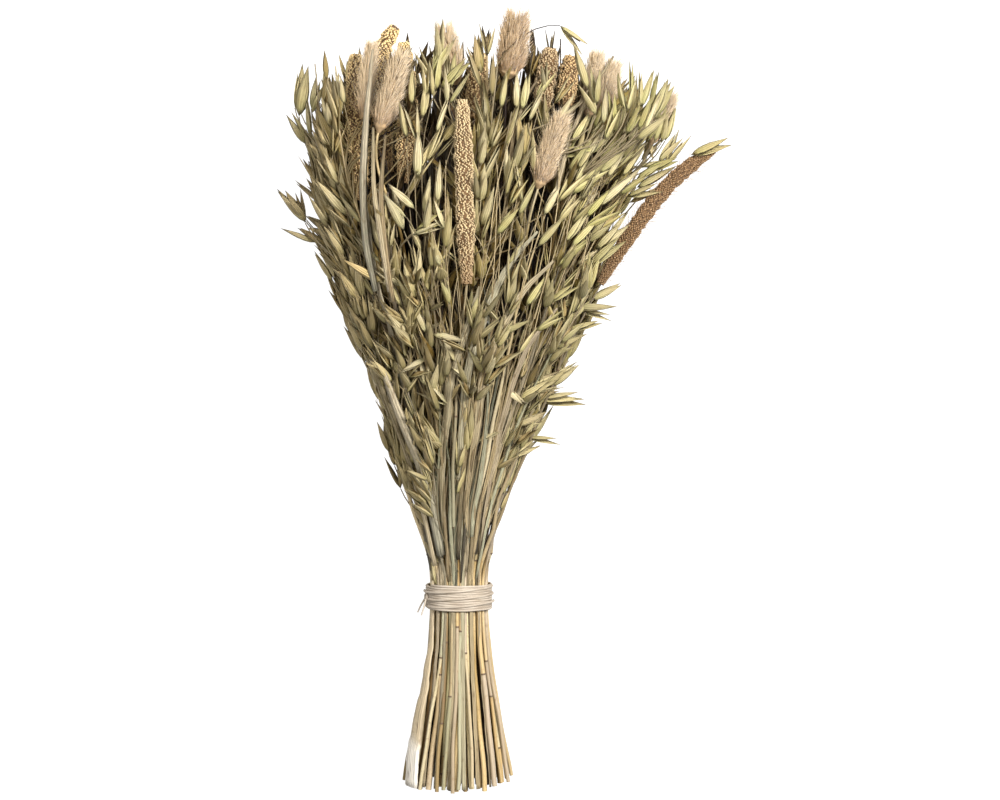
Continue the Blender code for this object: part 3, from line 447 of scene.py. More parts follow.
# Spikelets where the photo shows them singly: the x and y in mm of foot and tip as seen,
# the height in tenths of the bunch's, and which tint.
SINGLE_TINTS = ("olive", "green", "pale", "brown")
SINGLE_SPIKELETS = (
    (-103, 317, -99, 351, 3, 0), (-105, 329, -103, 343, 3, 0), (-101, 321, -98, 339, 3, 0),
    (-95, 321, -92, 343, 3, 0), (-92, 325, -88, 339, 3, 0), (-86, 333, -86, 349, 4, 0),
    (-81, 317, -85, 342, 4, 3), (-100, 298, -112, 316, 3, 0), (-98, 300, -108, 317, 3, 0),
    (-96, 302, -98, 326, 3, 0), (-90, 306, -91, 325, 4, 3), (-75, 307, -90, 322, 5, 0),
    (-72, 294, -88, 309, 5, 3), (-74, 318, -72, 338, 5, 3), (-79, 326, -79, 336, 4, 3),
    (-91, 260, -106, 272, 3, 3), (-92, 272, -101, 287, 3, 3), (-90, 266, -97, 274, 3, 3),
    (-100, 247, -119, 268, 3, 3), (-100, 248, -105, 268, 3, 3), (-103, 253, -112, 265, 3, 3),
    (-87, 240, -100, 246, 4, 3), (-88, 244, -98, 249, 4, 3), (-88, 232, -105, 243, 4, 3),
    (-94, 233, -116, 242, 3, 3), (-84, 222, -94, 232, 4, 3), (-85, 213, -94, 227, 4, 3),
    (-74, 240, -88, 258, 6, 0), (-75, 190, -83, 203, 4, 3), (-66, 171, -77, 190, 5, 3),
    (-90, 286, -96, 306, 4, 3), (-83, 260, -88, 281, 5, 3), (-82, 282, -85, 294, 5, 3),
    (-78, 278, -83, 298, 5, 0), (-77, 237, -90, 254, 5, 3), (-67, 226, -80, 237, 6, 0),
    (-95, 291, -100, 307, 3, 3), (113, 326, 112, 351, 23, 1), (106, 325, 104, 346, 13, 1),
    (119, 325, 118, 344, 23, 1), (120, 322, 127, 345, 23, 1), (125, 322, 129, 342, 23, 1),
    (129, 321, 131, 339, 23, 1), (125, 313, 137, 337, 23, 1), (128, 315, 140, 338, 23, 1),
    (117, 300, 136, 312, 23, 0), (126, 305, 140, 313, 23, 0), (124, 292, 134, 304, 5, 3),
    (132, 287, 145, 303, 5, 0), (136, 284, 149, 306, 5, 0), (118, 282, 142, 285, 5, 0),
    (118, 269, 143, 283, 5, 0), (115, 260, 132, 268, 5, 3), (124, 296, 123, 281, 4, 3),
    (118, 307, 126, 328, 23, 1), (110, 304, 122, 325, 23, 1), (131, 309, 128, 328, 23, 1),
    (90, 324, 89, 346, 13, 1), (86, 324, 80, 338, 13, 0), (84, 334, 75, 362, 13, 0),
    (95, 315, 96, 334, 13, 2), (101, 317, 100, 334, 13, 1), (96, 300, 104, 322, 13, 1),
    (110, 325, 110, 342, 23, 1), (92, 198, 107, 206, 6, 0), (79, 190, 103, 190, 6, 0),
    (81, 188, 101, 183, 6, 0), (73, 176, 94, 181, 6, 0), (68, 166, 84, 173, 6, 0), (74, 183, 87, 195, 6, 1),
    (66, 162, 78, 167, 6, 0), (58, 142, 79, 155, 6, 0), (64, 146, 72, 153, 6, 0), (53, 130, 84, 129, 6, 0),
    (54, 131, 82, 133, 6, 0), (49, 135, 70, 139, 7, 0), (44, 113, 58, 122, 6, 0), (40, 112, 56, 118, 6, 0),
    (50, 105, 67, 103, 6, 0), (40, 94, 55, 104, 6, 0), (34, 91, 47, 100, 7, 0), (35, 79, 40, 94, 7, 0),
    (73, 367, 84, 356, 6, 0), (-12, 350, -12, 378, 10, 0), (-11, 348, -1, 367, 10, 0),
    (-13, 351, -6, 365, 10, 1), (13, 351, 12, 369, 9, 3), (15, 352, 15, 367, 9, 3),
    (-36, 350, -29, 360, 7, 0), (-36, 351, -34, 362, 7, 3), (-18, 339, -28, 360, 9, 0),
    (-10, 334, 8, 351, 10, 1), (-2, 328, 8, 343, 10, 1), (-16, 329, -18, 350, 10, 0),
    (-22, 321, -20, 338, 10, 0), (-13, 307, -6, 327, 10, 2), (-30, 326, -30, 347, 9, 0),
    (-34, 304, -38, 324, 10, 0), (-26, 299, -31, 322, 10, 2), (29, 326, 32, 344, 10, 1),
    (38, 324, 38, 344, 10, 2), (42, 320, 46, 343, 10, 1), (53, 330, 64, 347, 10, 1),
    (47, 313, 56, 333, 10, 2), (82, 292, 68, 291, 10, 1), (66, 313, 79, 328, 10, 2),
    (75, 299, 87, 317, 10, 1), (86, 292, 96, 307, 10, 2), (92, 283, 108, 308, 10, 1),
    (100, 286, 109, 304, 10, 1), (73, 280, 87, 299, 10, 1), (66, 260, 82, 282, 10, 0),
    (75, 265, 100, 283, 10, 1), (92, 257, 118, 278, 10, 2), (84, 250, 100, 268, 10, 1),
    (66, 246, 79, 264, 10, 0), (83, 242, 107, 255, 10, 1), (75, 231, 94, 251, 10, 1),
    (66, 218, 86, 235, 10, 1), (91, 229, 109, 244, 9, 0), (86, 218, 107, 234, 9, 1),
    (53, 231, 70, 250, 10, 1), (40, 286, 47, 312, 10, 1), (49, 280, 53, 307, 10, 0),
    (40, 251, 51, 273, 10, 1), (31, 276, 32, 299, 10, 2), (-13, 260, -12, 287, 10, 2),
    (-26, 276, -26, 307, 10, 2), (-25, 282, -17, 300, 10, 0), (-20, 286, -8, 313, 10, 0),
    (-35, 250, -56, 269, 10, 2), (-36, 242, -47, 269, 10, 2), (-51, 220, -69, 239, 10, 2),
    (-38, 205, -55, 217, 10, 2), (-64, 246, -77, 263, 9, 0), (-56, 200, -67, 218, 10, 0),
    (-51, 186, -60, 198, 10, 0), (-62, 174, -74, 195, 9, 0), (-36, 181, -49, 192, 10, 2),
    (-56, 172, -47, 183, 10, 2), (-30, 256, -46, 270, 10, 2), (-21, 257, -18, 276, 10, 0),
    (-10, 244, -20, 261, 10, 2), (-18, 245, -5, 251, 10, 1), (-17, 242, -6, 246, 10, 2),
    (-12, 218, -20, 239, 10, 2), (-30, 195, -39, 216, 10, 0), (-22, 176, -30, 195, 10, 2),
    (-25, 155, -38, 147, 10, 2), (-8, 171, 6, 168, 10, 2), (-6, 162, -13, 174, 10, 2),
    (12, 155, 6, 165, 10, 1), (0, 148, 9, 140, 10, 2), (-21, 140, -29, 162, 10, 2),
    (-12, 131, -25, 140, 10, 2), (-30, 172, -43, 187, 10, 2), (-38, 148, -48, 165, 10, 0),
    (-6, 195, -12, 216, 10, 1), (8, 182, 12, 203, 10, 1), (27, 240, 40, 257, 10, 1),
    (34, 220, 46, 239, 10, 0), (27, 198, 35, 218, 10, 0), (47, 195, 58, 211, 10, 1),
    (53, 176, 70, 187, 10, 1), (40, 161, 49, 181, 10, 0), (61, 195, 78, 205, 10, 1),
    (128, 299, 136, 321, 26, 1), (133, 300, 139, 320, 26, 0), (136, 303, 142, 322, 25, 1),
    (125, 301, 134, 317, 26, 1), (122, 307, 130, 326, 25, 2), (-7, 324, -8, 350, 10, 2),
    (-21, 330, -21, 352, 10, 0), (-14, 333, -13, 361, 10, 1), (-4, 335, -2, 358, 10, 1),
    (42, 136, 65, 148, 8, 0), (32, 136, 45, 126, 9, 2), (34, 116, 42, 131, 9, 0), (35, 109, 41, 122, 9, 0),
    (30, 103, 36, 120, 9, 3), (27, 78, 32, 92, 9, 0), (25, 73, 30, 84, 9, 3), (19, 106, 28, 110, 10, 0),
    (56, 161, 68, 173, 8, 0), (47, 164, 57, 179, 9, 0), (50, 174, 62, 184, 9, 1), (43, 151, 48, 166, 9, 3),
    (65, 190, 87, 202, 8, 0), (58, 194, 79, 203, 9, 1), (64, 179, 79, 188, 8, 0), (31, 175, 47, 181, 10, 1),
    (37, 148, 49, 161, 9, 0), (53, 148, 64, 159, 8, 3), (31, 91, 38, 104, 9, 3), (-47, 104, -51, 118, 6, 3),
    (-43, 94, -47, 109, 6, 3), (-39, 79, -43, 94, 7, 3), (-20, 49, -29, 66, 9, 3), (-14, 26, -21, 44, 9, 3),
    (-14, 13, -18, 29, 9, 0), (40, 131, 63, 144, 9, 0), (51, 133, 66, 136, 7, 3), (53, 143, 64, 148, 9, 3),
    (62, 140, 79, 153, 8, 0), (58, 140, 72, 152, 7, 0), (40, 114, 58, 122, 9, 3), (44, 112, 56, 119, 8, 0),
    (34, 94, 53, 103, 8, 0), (35, 92, 42, 99, 8, 3), (50, 129, 49, 120, 9, 2), (32, 110, 35, 122, 9, 0),
    (36, 109, 38, 122, 9, 3), (35, 104, 47, 109, 8, 3), (35, 84, 40, 94, 8, 0), (32, 79, 35, 90, 8, 0),
    (31, 68, 35, 79, 8, 3), (47, 140, 56, 148, 7, 3), (40, 144, 52, 151, 7, 3), (46, 153, 51, 166, 8, 0),
    (72, 294, 77, 309, 8, 0), (79, 276, 86, 291, 10, 1), (85, 268, 96, 289, 10, 1),
    (92, 292, 101, 309, 8, 0), (98, 276, 110, 296, 10, 2), (104, 294, 108, 311, 10, 0),
    (96, 260, 106, 276, 8, 1), (106, 264, 124, 276, 10, 1), (110, 280, 120, 294, 10, 0),
    (81, 258, 92, 268, 8, 2), (69, 250, 81, 262, 10, 0), (75, 240, 84, 252, 10, 1),
    (87, 235, 100, 248, 8, 1), (101, 240, 110, 252, 10, 0), (61, 260, 67, 272, 10, 2),
    (116, 264, 132, 268, 8, 0), (120, 276, 136, 285, 10, 1), (124, 280, 144, 287, 10, 1),
    (85, 294, 96, 309, 8, 0), (112, 300, 120, 317, 10, 2), (120, 303, 138, 313, 10, 0),
    (101, 313, 112, 329, 8, 1), (92, 313, 100, 327, 10, 1), (72, 224, 81, 235, 10, 0),
    (83, 222, 96, 231, 8, 2), (88, 292, 103, 305, 9, 1), (72, 273, 85, 289, 9, 1), (80, 277, 96, 292, 8, 0),
    (94, 286, 101, 302, 9, 1), (98, 278, 116, 291, 8, 1), (79, 292, 87, 308, 10, 0),
    (72, 295, 78, 311, 9, 1), (86, 302, 94, 318, 9, 1), (102, 292, 110, 308, 9, 0),
    (110, 290, 120, 304, 8, 1), (96, 300, 104, 314, 9, 2), (108, 305, 118, 316, 8, 1),
    (76, 284, 90, 295, 9, 2), (104, 310, 110, 324, 9, 1), (96, 282, 108, 294, 10, 1),
    (81, 285, 91, 300, 10, 0),
)


class Stalk:
    """One stalk or leaf, from its cut end to its tip, with the head that it carries."""

    def __init__(self, name, kind, ring, theta):
        self.name, self.kind, self.ring, self.theta = name, kind, ring, theta
        self.rho = RING_SHARES[ring]
        self.is_leaf = kind in ("leaf", "sheath")
        self.head = self.line = self.radii = self.widths = None
        self.husks = 0
        self.end = self.foot = 0.0


# Layout


def section(y):
    """Half-width, half-height, middle x and middle z of the bunch's outline at y."""
    return [np.interp(y, LEVELS, SECTIONS[:, column]) for column in (1, 2, 3, 4)]


def point_in_bunch(y, rho, theta):
    """The x and z at y of the place that lies rho of the way out at angle theta."""
    half_width, half_height, middle_x, middle_z = section(y)
    out = half_width * rho * math.cos(theta), half_height * rho * math.sin(theta)
    return np.array((middle_x + out[0], middle_z + out[1]))


def ring_places():
    """The stalks' places in the binding, as (ring, theta) pairs."""
    places = []
    for ring, count in enumerate(RING_COUNTS):
        for step in range(count):
            phase = 0.5 * ((ring + 1) % 2)
            places.append((ring, math.radians(90) + 2 * math.pi * (step + phase) / count))
    return places


def take_nearest(free, ring, theta):
    """Takes from free the place nearest to angle theta on a ring of the binding."""
    wanted = RING_SHARES[ring] * np.array((math.cos(theta), math.sin(theta)))

    def distance(place):
        at = RING_SHARES[place[0]] * np.array((math.cos(place[1]), math.sin(place[1])))
        return float(np.hypot(*(at - wanted)))

    best = min(free, key=distance)
    free.remove(best)
    return best


def place_stalks():
    """Every stalk and leaf with its place in the binding."""
    free = ring_places()
    stalks = []
    outermost = len(RING_COUNTS) - 1
    leaf_angles = {name: facts[0][0] for name, facts in {**FRONT_LEAVES, **FLOOR_LEAVES}.items()}
    leaf_angles[SHEATH_NAME] = SHEATH_ANGLE
    for name, degrees in leaf_angles.items():
        kind = "sheath" if name == SHEATH_NAME else "leaf"
        stalks.append(Stalk(name, kind, outermost, math.radians(degrees)))
    for name, (kind, ring, points) in HEADS.items():
        head = MM * np.array(points)
        half_width, half_height, middle_x, middle_z = section(head[0, 1])
        across = (head[0, 0] - middle_x) / half_width
        up = (head[0, 2] - middle_z) / half_height
        stalk = Stalk(name, kind, *take_nearest(free, ring, math.atan2(up, across)))
        stalk.head = head
        stalk.foot = head[0, 1]
        stalk.end = head[-1, 1]
        stalks.append(stalk)
    turns = {}
    for number, (ring, theta) in enumerate(sorted(free), start=1):
        stalk = Stalk(f"oat_{number:02d}", "oat", ring, theta)
        turn = turns[ring] = turns.get(ring, -1) + 1
        tops = OAT_TOPS[ring]
        stalk.end = MM * tops[turn % len(tops)]
        stalk.husks = HUSKS_BY_RING[ring]
        stalk.foot = max(LOWEST_HUSK, (1 - HUSKED_SHARES[ring]) * stalk.end)
        stalks.append(stalk)
    return stalks


def front_leaf_line(facts):
    """The points that a front leaf follows above the binding."""
    (_, _, lift), way = facts
    points = []
    for x, y in MM * np.array(way):
        half_width, half_height, middle_x, middle_z = section(y)
        rise = math.sqrt(max(0.05, 1 - ((x - middle_x) / half_width) ** 2))
        points.append((x, y, middle_z + half_height * rise + MM * lift))
    return np.array(points)


def leaf_way(name):
    """The points of a leaf above the binding, or none for the sheath."""
    if name in FRONT_LEAVES:
        return front_leaf_line(FRONT_LEAVES[name])
    if name in FLOOR_LEAVES:
        return MM * np.array(FLOOR_LEAVES[name][1])
    return np.zeros((0, 3))


def first_crossings(stalks):
    """Where each stalk crosses each level before the stalks are moved apart."""
    random = np.random.default_rng(SEED)
    at = np.zeros((len(stalks), len(LEVELS), 2))
    for i, stalk in enumerate(stalks):
        wander = random.normal(0, 1, (len(LEVELS), 2)) * WANDER
        wander[list(TIE_LEVELS)] = 0
        wander[0] *= 0.3
        if stalk.is_leaf:
            wander[:] = 0
        for level, y in enumerate(LEVELS):
            at[i, level] = point_in_bunch(y, stalk.rho, stalk.theta) + wander[level]
            if stalk.head is not None:
                start = LEVELS[TIE_LEVELS[1]]
                rise = np.clip((y - start) / (stalk.foot - start), 0, 1)
                foot = point_in_bunch(stalk.foot, stalk.rho, stalk.theta)
                at[i, level] += (stalk.head[0][[0, 2]] - foot) * rise * rise * (3 - 2 * rise)
    return at


def along_line(line, y):
    """The x and z at y of a line."""
    return np.array((np.interp(y, line[:, 1], line[:, 0]), np.interp(y, line[:, 1], line[:, 2])))


def round_rod(stalk):
    """How a round stalk passes each sample: its levels' weights, its fixed part and its room."""
    weights = np.zeros((len(SAMPLES), len(LEVELS)))
    fixed = np.zeros((len(SAMPLES), 2))
    crowd = np.zeros(len(SAMPLES))
    solid = np.zeros(len(SAMPLES))
    below = len(LEVELS) if stalk.head is None else int(np.sum(LEVELS < stalk.foot - HEAD_APPROACH))
    last = below - 1
    for s, y in enumerate(SAMPLES):
        if y <= LEVELS[last]:
            k = int(np.clip(np.searchsorted(LEVELS, y) - 1, 0, last - 1))
            share = (y - LEVELS[k]) / (LEVELS[k + 1] - LEVELS[k])
            weights[s, k] = 1 - share
            weights[s, k + 1] = share
        elif stalk.head is None:
            weights[s, last] = 1
        elif y < stalk.foot:
            share = (y - LEVELS[last]) / (stalk.foot - LEVELS[last])
            weights[s, last] = 1 - share
            fixed[s] = share * stalk.head[0][[0, 2]]
        else:
            fixed[s] = along_line(stalk.head, y)
        solid[s] = stem_radius(stalk, y) + STEM_GAP / 2
        crowd[s] = solid[s]
        if stalk.head is not None and y > stalk.foot - HEAD_APPROACH:
            solid[s] = MILLET_RADIUS if stalk.kind == "millet" else TAIL_RADIUS
            crowd[s] = solid[s] + HEAD_MARGIN
        elif stalk.head is None and y > stalk.foot:
            crowd[s] = CROWD_RADIUS
        if y > stalk.end + HEAD_APPROACH:
            crowd[s] = solid[s] = 0
    return weights, fixed, crowd, solid


def leaf_strands(stalk):
    """A leaf as three round strands side by side: their lines."""
    across, _ = leaf_sides(stalk)
    return [stalk.line + across * (share * stalk.widths)[:, None] for share in (-0.34, 0, 0.34)]


def leaf_rods(stalk):
    """The same for a leaf, which stays put, as three rods side by side."""
    for line in leaf_strands(stalk):
        fixed = np.array([along_line(line, y) for y in SAMPLES])
        solid = np.interp(SAMPLES, stalk.line[:, 1], STRAND_SHARE * stalk.widths) + STEM_GAP / 2
        solid[SAMPLES > stalk.line[-1, 1] + HEAD_APPROACH] = 0
        yield np.zeros((len(SAMPLES), len(LEVELS))), fixed, solid, solid


def make_room(stalks, at):
    """Pushes the stalks apart along their length until none needs another's room."""
    rods = [round_rod(s) for s in stalks if not s.is_leaf]
    movable = [i for i, s in enumerate(stalks) if not s.is_leaf]
    for stalk in stalks:
        if stalk.is_leaf:
            rods.extend(leaf_rods(stalk))
    weights, fixed, crowd, solid = (np.array(facts) for facts in zip(*rods))
    count = len(movable)
    weights = weights[:count]
    target = at[movable].copy()
    loose = np.ones(len(LEVELS), bool)
    loose[list(TIE_LEVELS)] = False
    low = np.full((count, len(LEVELS)), STEM_RADIUS)
    for i, k in enumerate(movable):
        if stalks[k].kind == "oat":
            low[i, LEVELS > LOWEST_HUSK] = FLOOR_ROOM
    now = target.copy()
    for turn in range(SOFT_ROUNDS + HARD_ROUNDS):
        soft = turn < SOFT_ROUNDS
        room = crowd if soft else solid
        places = fixed.copy()
        places[:count] += np.einsum("isl,ilx->isx", weights, now)
        away = places[:count, None] - places[None]
        distance = np.linalg.norm(away, axis=3) + 1e-9
        wanted = (room[:count, None] + room[None]) * (room[:count, None] > 0) * (room[None] > 0)
        overlap = np.clip(wanted - distance, 0, None)
        overlap[np.arange(count), np.arange(count)] = 0
        push = (away / distance[..., None] * overlap[..., None]).sum(axis=1)
        force = np.einsum("isl,isx->ilx", weights, push)
        now[:, loose] += (SOFT_PUSH if soft else HARD_PUSH) * force[:, loose]
        if soft:
            middle = (now[:, :-2] + now[:, 2:]) / 2
            inner = loose[1:-1]
            now[:, 1:-1][:, inner] += SMOOTHING * (middle - now[:, 1:-1])[:, inner]
            now[:, loose] += HOLD * (target - now)[:, loose]
        now[:, :, 1] = np.maximum(now[:, :, 1], low)
    at[movable] = now


def stem_radius(stalk, y):
    """How thick a round stem is at y."""
    base = TAIL_STEM_RADIUS if stalk.kind == "tail" else STEM_RADIUS
    neck = RACHIS_RADIUS if stalk.kind == "oat" else NECK_RADIUS
    if y <= stalk.foot:
        return float(np.interp(y, (TAPER_START, stalk.foot), (base, neck)))
    if stalk.kind == "oat":
        return float(np.interp(y, (stalk.foot, stalk.end), (neck, RACHIS_TIP_RADIUS)))
    return neck


def trace_round(stalk, at):
    """The line and radii of a round stem, up to its tip or into its head."""
    points = [np.array((x, y, z)) for (x, z), y in zip(at, LEVELS)]
    if stalk.kind == "oat":
        line = [p for p in points if p[1] < stalk.end - TIP_STEP]
        x, z = (np.interp(stalk.end, LEVELS, at[:, column]) for column in (0, 1))
        line.append(np.array((x, stalk.end, z)))
    else:
        line = [p for p in points if p[1] < stalk.foot - HEAD_APPROACH]
        line.append(stalk.head[0])
        line.append(stalk.head[0] + 0.5 * (stalk.head[1] - stalk.head[0]))
    stalk.line = np.array(line)
    stalk.radii = np.array([stem_radius(stalk, p[1]) for p in line])


def trace_leaf(stalk, at):
    """The line and widths of a leaf, which lies outermost in the binding."""
    outward = np.array((math.cos(stalk.theta), math.sin(stalk.theta)))
    outset = SHEATH_OUTSET if stalk.kind == "sheath" else LEAF_OUTSET
    line = [
        np.array((at[k, 0] + outward[0] * outset[k], LEVELS[k], at[k, 1] + outward[1] * outset[k]))
        for k in range(len(outset))
    ]
    if stalk.kind == "sheath":
        stalk.line = np.array(line)
        stalk.widths = SHEATH_WIDTHS
        return
    line.extend(leaf_way(stalk.name))
    full = MM * {**FRONT_LEAVES, **FLOOR_LEAVES}[stalk.name][0][1]
    held = len(LEAF_OUTSET)
    widths = [LEAF_TIE_WIDTH] * held + [full] * (len(line) - held)
    widths[held] = 0.8 * full
    widths[-2] = 0.8 * full
    widths[-1] = 0.3 * full
    stalk.line = np.array(line)
    stalk.widths = np.array(widths)


def lay_out():
    """All stalks and leaves of the bunch, traced so that none crosses another."""
    stalks = place_stalks()
    at = first_crossings(stalks)
    for stalk, crossings in zip(stalks, at):
        if stalk.is_leaf:
            trace_leaf(stalk, crossings)
    make_room(stalks, at)
    for stalk, crossings in zip(stalks, at):
        if not stalk.is_leaf:
            trace_round(stalk, crossings)
    return stalks


def leaf_sides(stalk):
    """Unit vectors across and out of a leaf at each of its points."""
    ahead = np.gradient(stalk.line, axis=0)
    ahead /= np.linalg.norm(ahead, axis=1)[:, None]
    across = []
    for point, along in zip(stalk.line, ahead):
        _, _, middle_x, middle_z = section(point[1])
        out = np.array((point[0] - middle_x, 0, point[2] - middle_z))
        if stalk.name in FLOOR_LEAVES and point[1] > FLOOR_LEAF_START:
            out = np.array((0.0, 0.0, -1.0))
        side = np.cross(out, along)
        across.append(side / np.linalg.norm(side))
    across = np.array(across)
    return across, np.cross(ahead, across)


# Husks


class Obstacles:
    """What a husk has to stay clear of: rods with a radius, and the husks already placed."""

    def __init__(self, stalks):
        starts, ends, radii, owners = [], [], [], []

        def add(line, sizes, owner):
            for k in range(len(line) - 1):
                starts.append(line[k])
                ends.append(line[k + 1])
                radii.append(max(sizes[k], sizes[k + 1]))
                owners.append(owner)

        for owner, stalk in enumerate(stalks):
            if stalk.is_leaf:
                for line in leaf_strands(stalk):
                    add(line, STRAND_SHARE * stalk.widths, owner)
                continue
            add(stalk.line, stalk.radii, owner)
            if stalk.head is not None:
                radius = MILLET_RADIUS if stalk.kind == "millet" else TAIL_RADIUS
                add(stalk.head, [radius * HEAD_CLEARANCE] * len(stalk.head), owner)
        self.starts = np.array(starts)
        self.ends = np.array(ends)
        self.radii = np.array(radii)
        self.owners = np.array(owners)
        self.spots = np.zeros((0, 3))
        self.spot_radii = np.zeros(0)

    def gap_to_rods(self, points, sizes, chosen):
        """The smallest gap between balls at the points and the chosen rods."""
        along = self.ends[chosen] - self.starts[chosen]
        to = points[:, None] - self.starts[chosen][None]
        share = np.clip((to * along).sum(2) / (along * along).sum(1), 0, 1)
        nearest = np.linalg.norm(to - share[:, :, None] * along, axis=2)
        return float((nearest - self.radii[chosen] - sizes[:, None]).min())

    def room_round(self, points, sizes, owner):
        """The smallest gap between a husk and the floor, the other stalks and all husks.

        The outer half of the husk also has to clear the stalk that it grows from.
        """
        own = self.owners == owner
        outer = len(points) // 2
        gap = min(
            float((points[:, 2] - sizes).min()), self.gap_to_rods(points, sizes, ~own),
            self.gap_to_rods(points[outer:], sizes[outer:], own),
        )
        if len(self.spots):
            apart = np.linalg.norm(points[:, None] - self.spots[None], axis=2)
            gap = min(gap, float((apart - self.spot_radii - sizes[:, None]).min()))
        return gap

    def add_husk(self, points, sizes):
        self.spots = np.vstack((self.spots, points))
        self.spot_radii = np.append(self.spot_radii, sizes)


class Husk:
    """One oat spikelet: where it roots, which way it points and how long its two parts are."""

    def __init__(self, root, ahead, flat, pedicel, length):
        self.root, self.ahead, self.flat = root, ahead, flat
        self.pedicel, self.length = pedicel, length

    def samples(self):
        """Points along the husk with the radius of a ball round each."""
        shares = np.array((0.02, 0.14, 0.27, 0.40, 0.54, 0.68, 0.82, 0.97))
        sizes = HUSK_HALF_WIDTH * np.array((0.4, 0.72, 0.95, 1.0, 0.85, 0.6, 0.34, 0.06))
        reach = self.pedicel + shares * self.length
        if self.pedicel > SHORT_PEDICEL:
            reach = np.append(0.55 * self.pedicel, reach)
            sizes = np.append(PEDICEL_RADIUS, sizes)
        return self.root + reach[:, None] * self.ahead, sizes


def unit(vector):
    return vector / np.linalg.norm(vector)


def point_on(line, y):
    """The point at y on a line, and the direction it runs in there."""
    k = int(np.clip(np.searchsorted(line[:, 1], y) - 1, 0, len(line) - 2))
    share = (y - line[k, 1]) / (line[k + 1, 1] - line[k, 1])
    return line[k] + share * (line[k + 1] - line[k]), unit(line[k + 1] - line[k])


def husk_on(stalk, y, azimuth, lean, pedicel, length):
    """A husk that grows from a stalk at y, turned by azimuth and leaning out by lean."""
    root, along = point_on(stalk.line, y)
    side = unit(np.cross(along, (0.3, 0.1, 1.0)))
    other = np.cross(along, side)
    out = math.cos(azimuth) * side + math.sin(azimuth) * other
    ahead = math.cos(lean) * along + math.sin(lean) * out
    return Husk(root, ahead, unit(np.cross(along, ahead)), pedicel, length)


def grow_husks(stalks):
    """The husks of every oat stalk, each placed where it clears the other stalks."""
    obstacles = Obstacles(stalks)
    husks = {stalk.name: [] for stalk in stalks if stalk.kind == "oat"}
    for turn in range(max(HUSKS_BY_RING)):
        for owner, stalk in enumerate(stalks):
            if turn >= stalk.husks:
                continue
            random = np.random.default_rng((SEED, owner, turn))
            length = random.uniform(*HUSK_LENGTHS)
            tries = []
            if turn == 0:
                along = unit(stalk.line[-1] - stalk.line[-2])
                root = stalk.line[-1] - TIP_OVERLAP * along
                tries.append(Husk(root, along, unit(np.cross(along, (1, 0, 0.4))), 0.0, length))
            share = 1 - turn / (stalk.husks - 1)
            y = stalk.foot + (stalk.end - stalk.foot - 8 * MM) * share
            for attempt in range(HUSK_TRIES if turn > 0 else 0):
                leans, pedicels = WIDE_REACH if attempt < HUSK_TRIES / 2 else CLOSE_REACH
                lean = math.radians(random.uniform(*leans))
                pedicel = MM * random.uniform(*pedicels)
                azimuth = turn * GOLDEN_ANGLE + owner + 0.8 * attempt
                tries.append(husk_on(stalk, y, azimuth, lean, pedicel, length))
            for husk in tries:
                points, sizes = husk.samples()
                if obstacles.room_round(points, sizes, owner) > HUSK_CLEARANCE:
                    obstacles.add_husk(points, sizes)
                    husks[stalk.name].append(husk)
                    break
    return husks, obstacles


# Lines and spots that the node trees turn into shapes


def lengths_along(line):
    """The distance along a line of each of its points."""
    return np.append(0, np.cumsum(np.linalg.norm(np.diff(line, axis=0), axis=1)))


def hermite(t, reach, start, leaving, end, arriving):
    """Points at the shares t of a smooth line from start to end, with its slope at both."""
    return (
        (2 * t**3 - 3 * t**2 + 1) * start
        + (t**3 - 2 * t**2 + t) * reach * leaving
        + (3 * t**2 - 2 * t**3) * end
        + (t**3 - t**2) * reach * arriving
    )


def sample_line(line, at):
    """The points at the distances at on a cornerless line through the given points."""
    lengths = lengths_along(line)
    slopes = np.gradient(line, lengths, axis=0)
    k = np.clip(np.searchsorted(lengths, at, side="right") - 1, 0, len(line) - 2)
    span = (lengths[k + 1] - lengths[k])[:, None]
    t = (at - lengths[k])[:, None] / span
    return hermite(t, span, line[k], slopes[k], line[k + 1], slopes[k + 1])


def columns_at(at, known, rows):
    """Rows of three values, known at some distances, brought to the distances at."""
    return np.array([np.interp(at, known, rows[:, column]) for column in range(3)]).T


def draws(kind, number=0):
    """The random draws of one piece or group of pieces."""
    return np.random.default_rng((SEED, DRAWS[kind] + number))


class Growth:
    """The lines and spots of one piece, with what the node trees read at each."""

    def __init__(self):
        self.points = []
        self.edges = []
        self.part = []
        self.thick = []
        self.tint = []
        self.knot = []
        self.turn = []
        self.pick = []

    def line(self, part, points, thick, tint, knot=None):
        """Adds a line of the given part: its thickness and tint at every point."""
        first = len(self.points)
        count = len(points)
        self.points.extend(points)
        self.edges.extend((first + k, first + k + 1) for k in range(count - 1))
        self.part.extend([part] * count)
        self.thick.extend(np.broadcast_to(thick, count))
        self.tint.extend(np.broadcast_to(tint, (count, 3)))
        self.knot.extend(np.zeros(count) if knot is None else knot)
        self.turn.extend([(0, 0, 0)] * count)
        self.pick.extend([0] * count)

    def spot(self, part, point, turn, size, tint, pick):
        """Adds a spot where one ready-made shape is placed."""
        self.points.append(point)
        self.part.append(part)
        self.thick.append(size)
        self.tint.append(tint)
        self.knot.append(0)
        self.turn.append(turn)
        self.pick.append(pick)

    def mesh(self, name):
        made = bpy.data.meshes.new(name)
        made.from_pydata([tuple(p) for p in self.points], self.edges, [])
        for key, kind, field, values in (
            ("part", "INT", "value", self.part), ("thick", "FLOAT", "value", self.thick),
            ("tint", "FLOAT_VECTOR", "vector", self.tint), ("knot", "FLOAT", "value", self.knot),
            ("turn", "FLOAT_VECTOR", "vector", self.turn), ("pick", "INT", "value", self.pick),
        ):
            layer = made.attributes.new(key, kind, "POINT")
            layer.data.foreach_set(field, np.array(values).ravel())
        return made


# Node trees


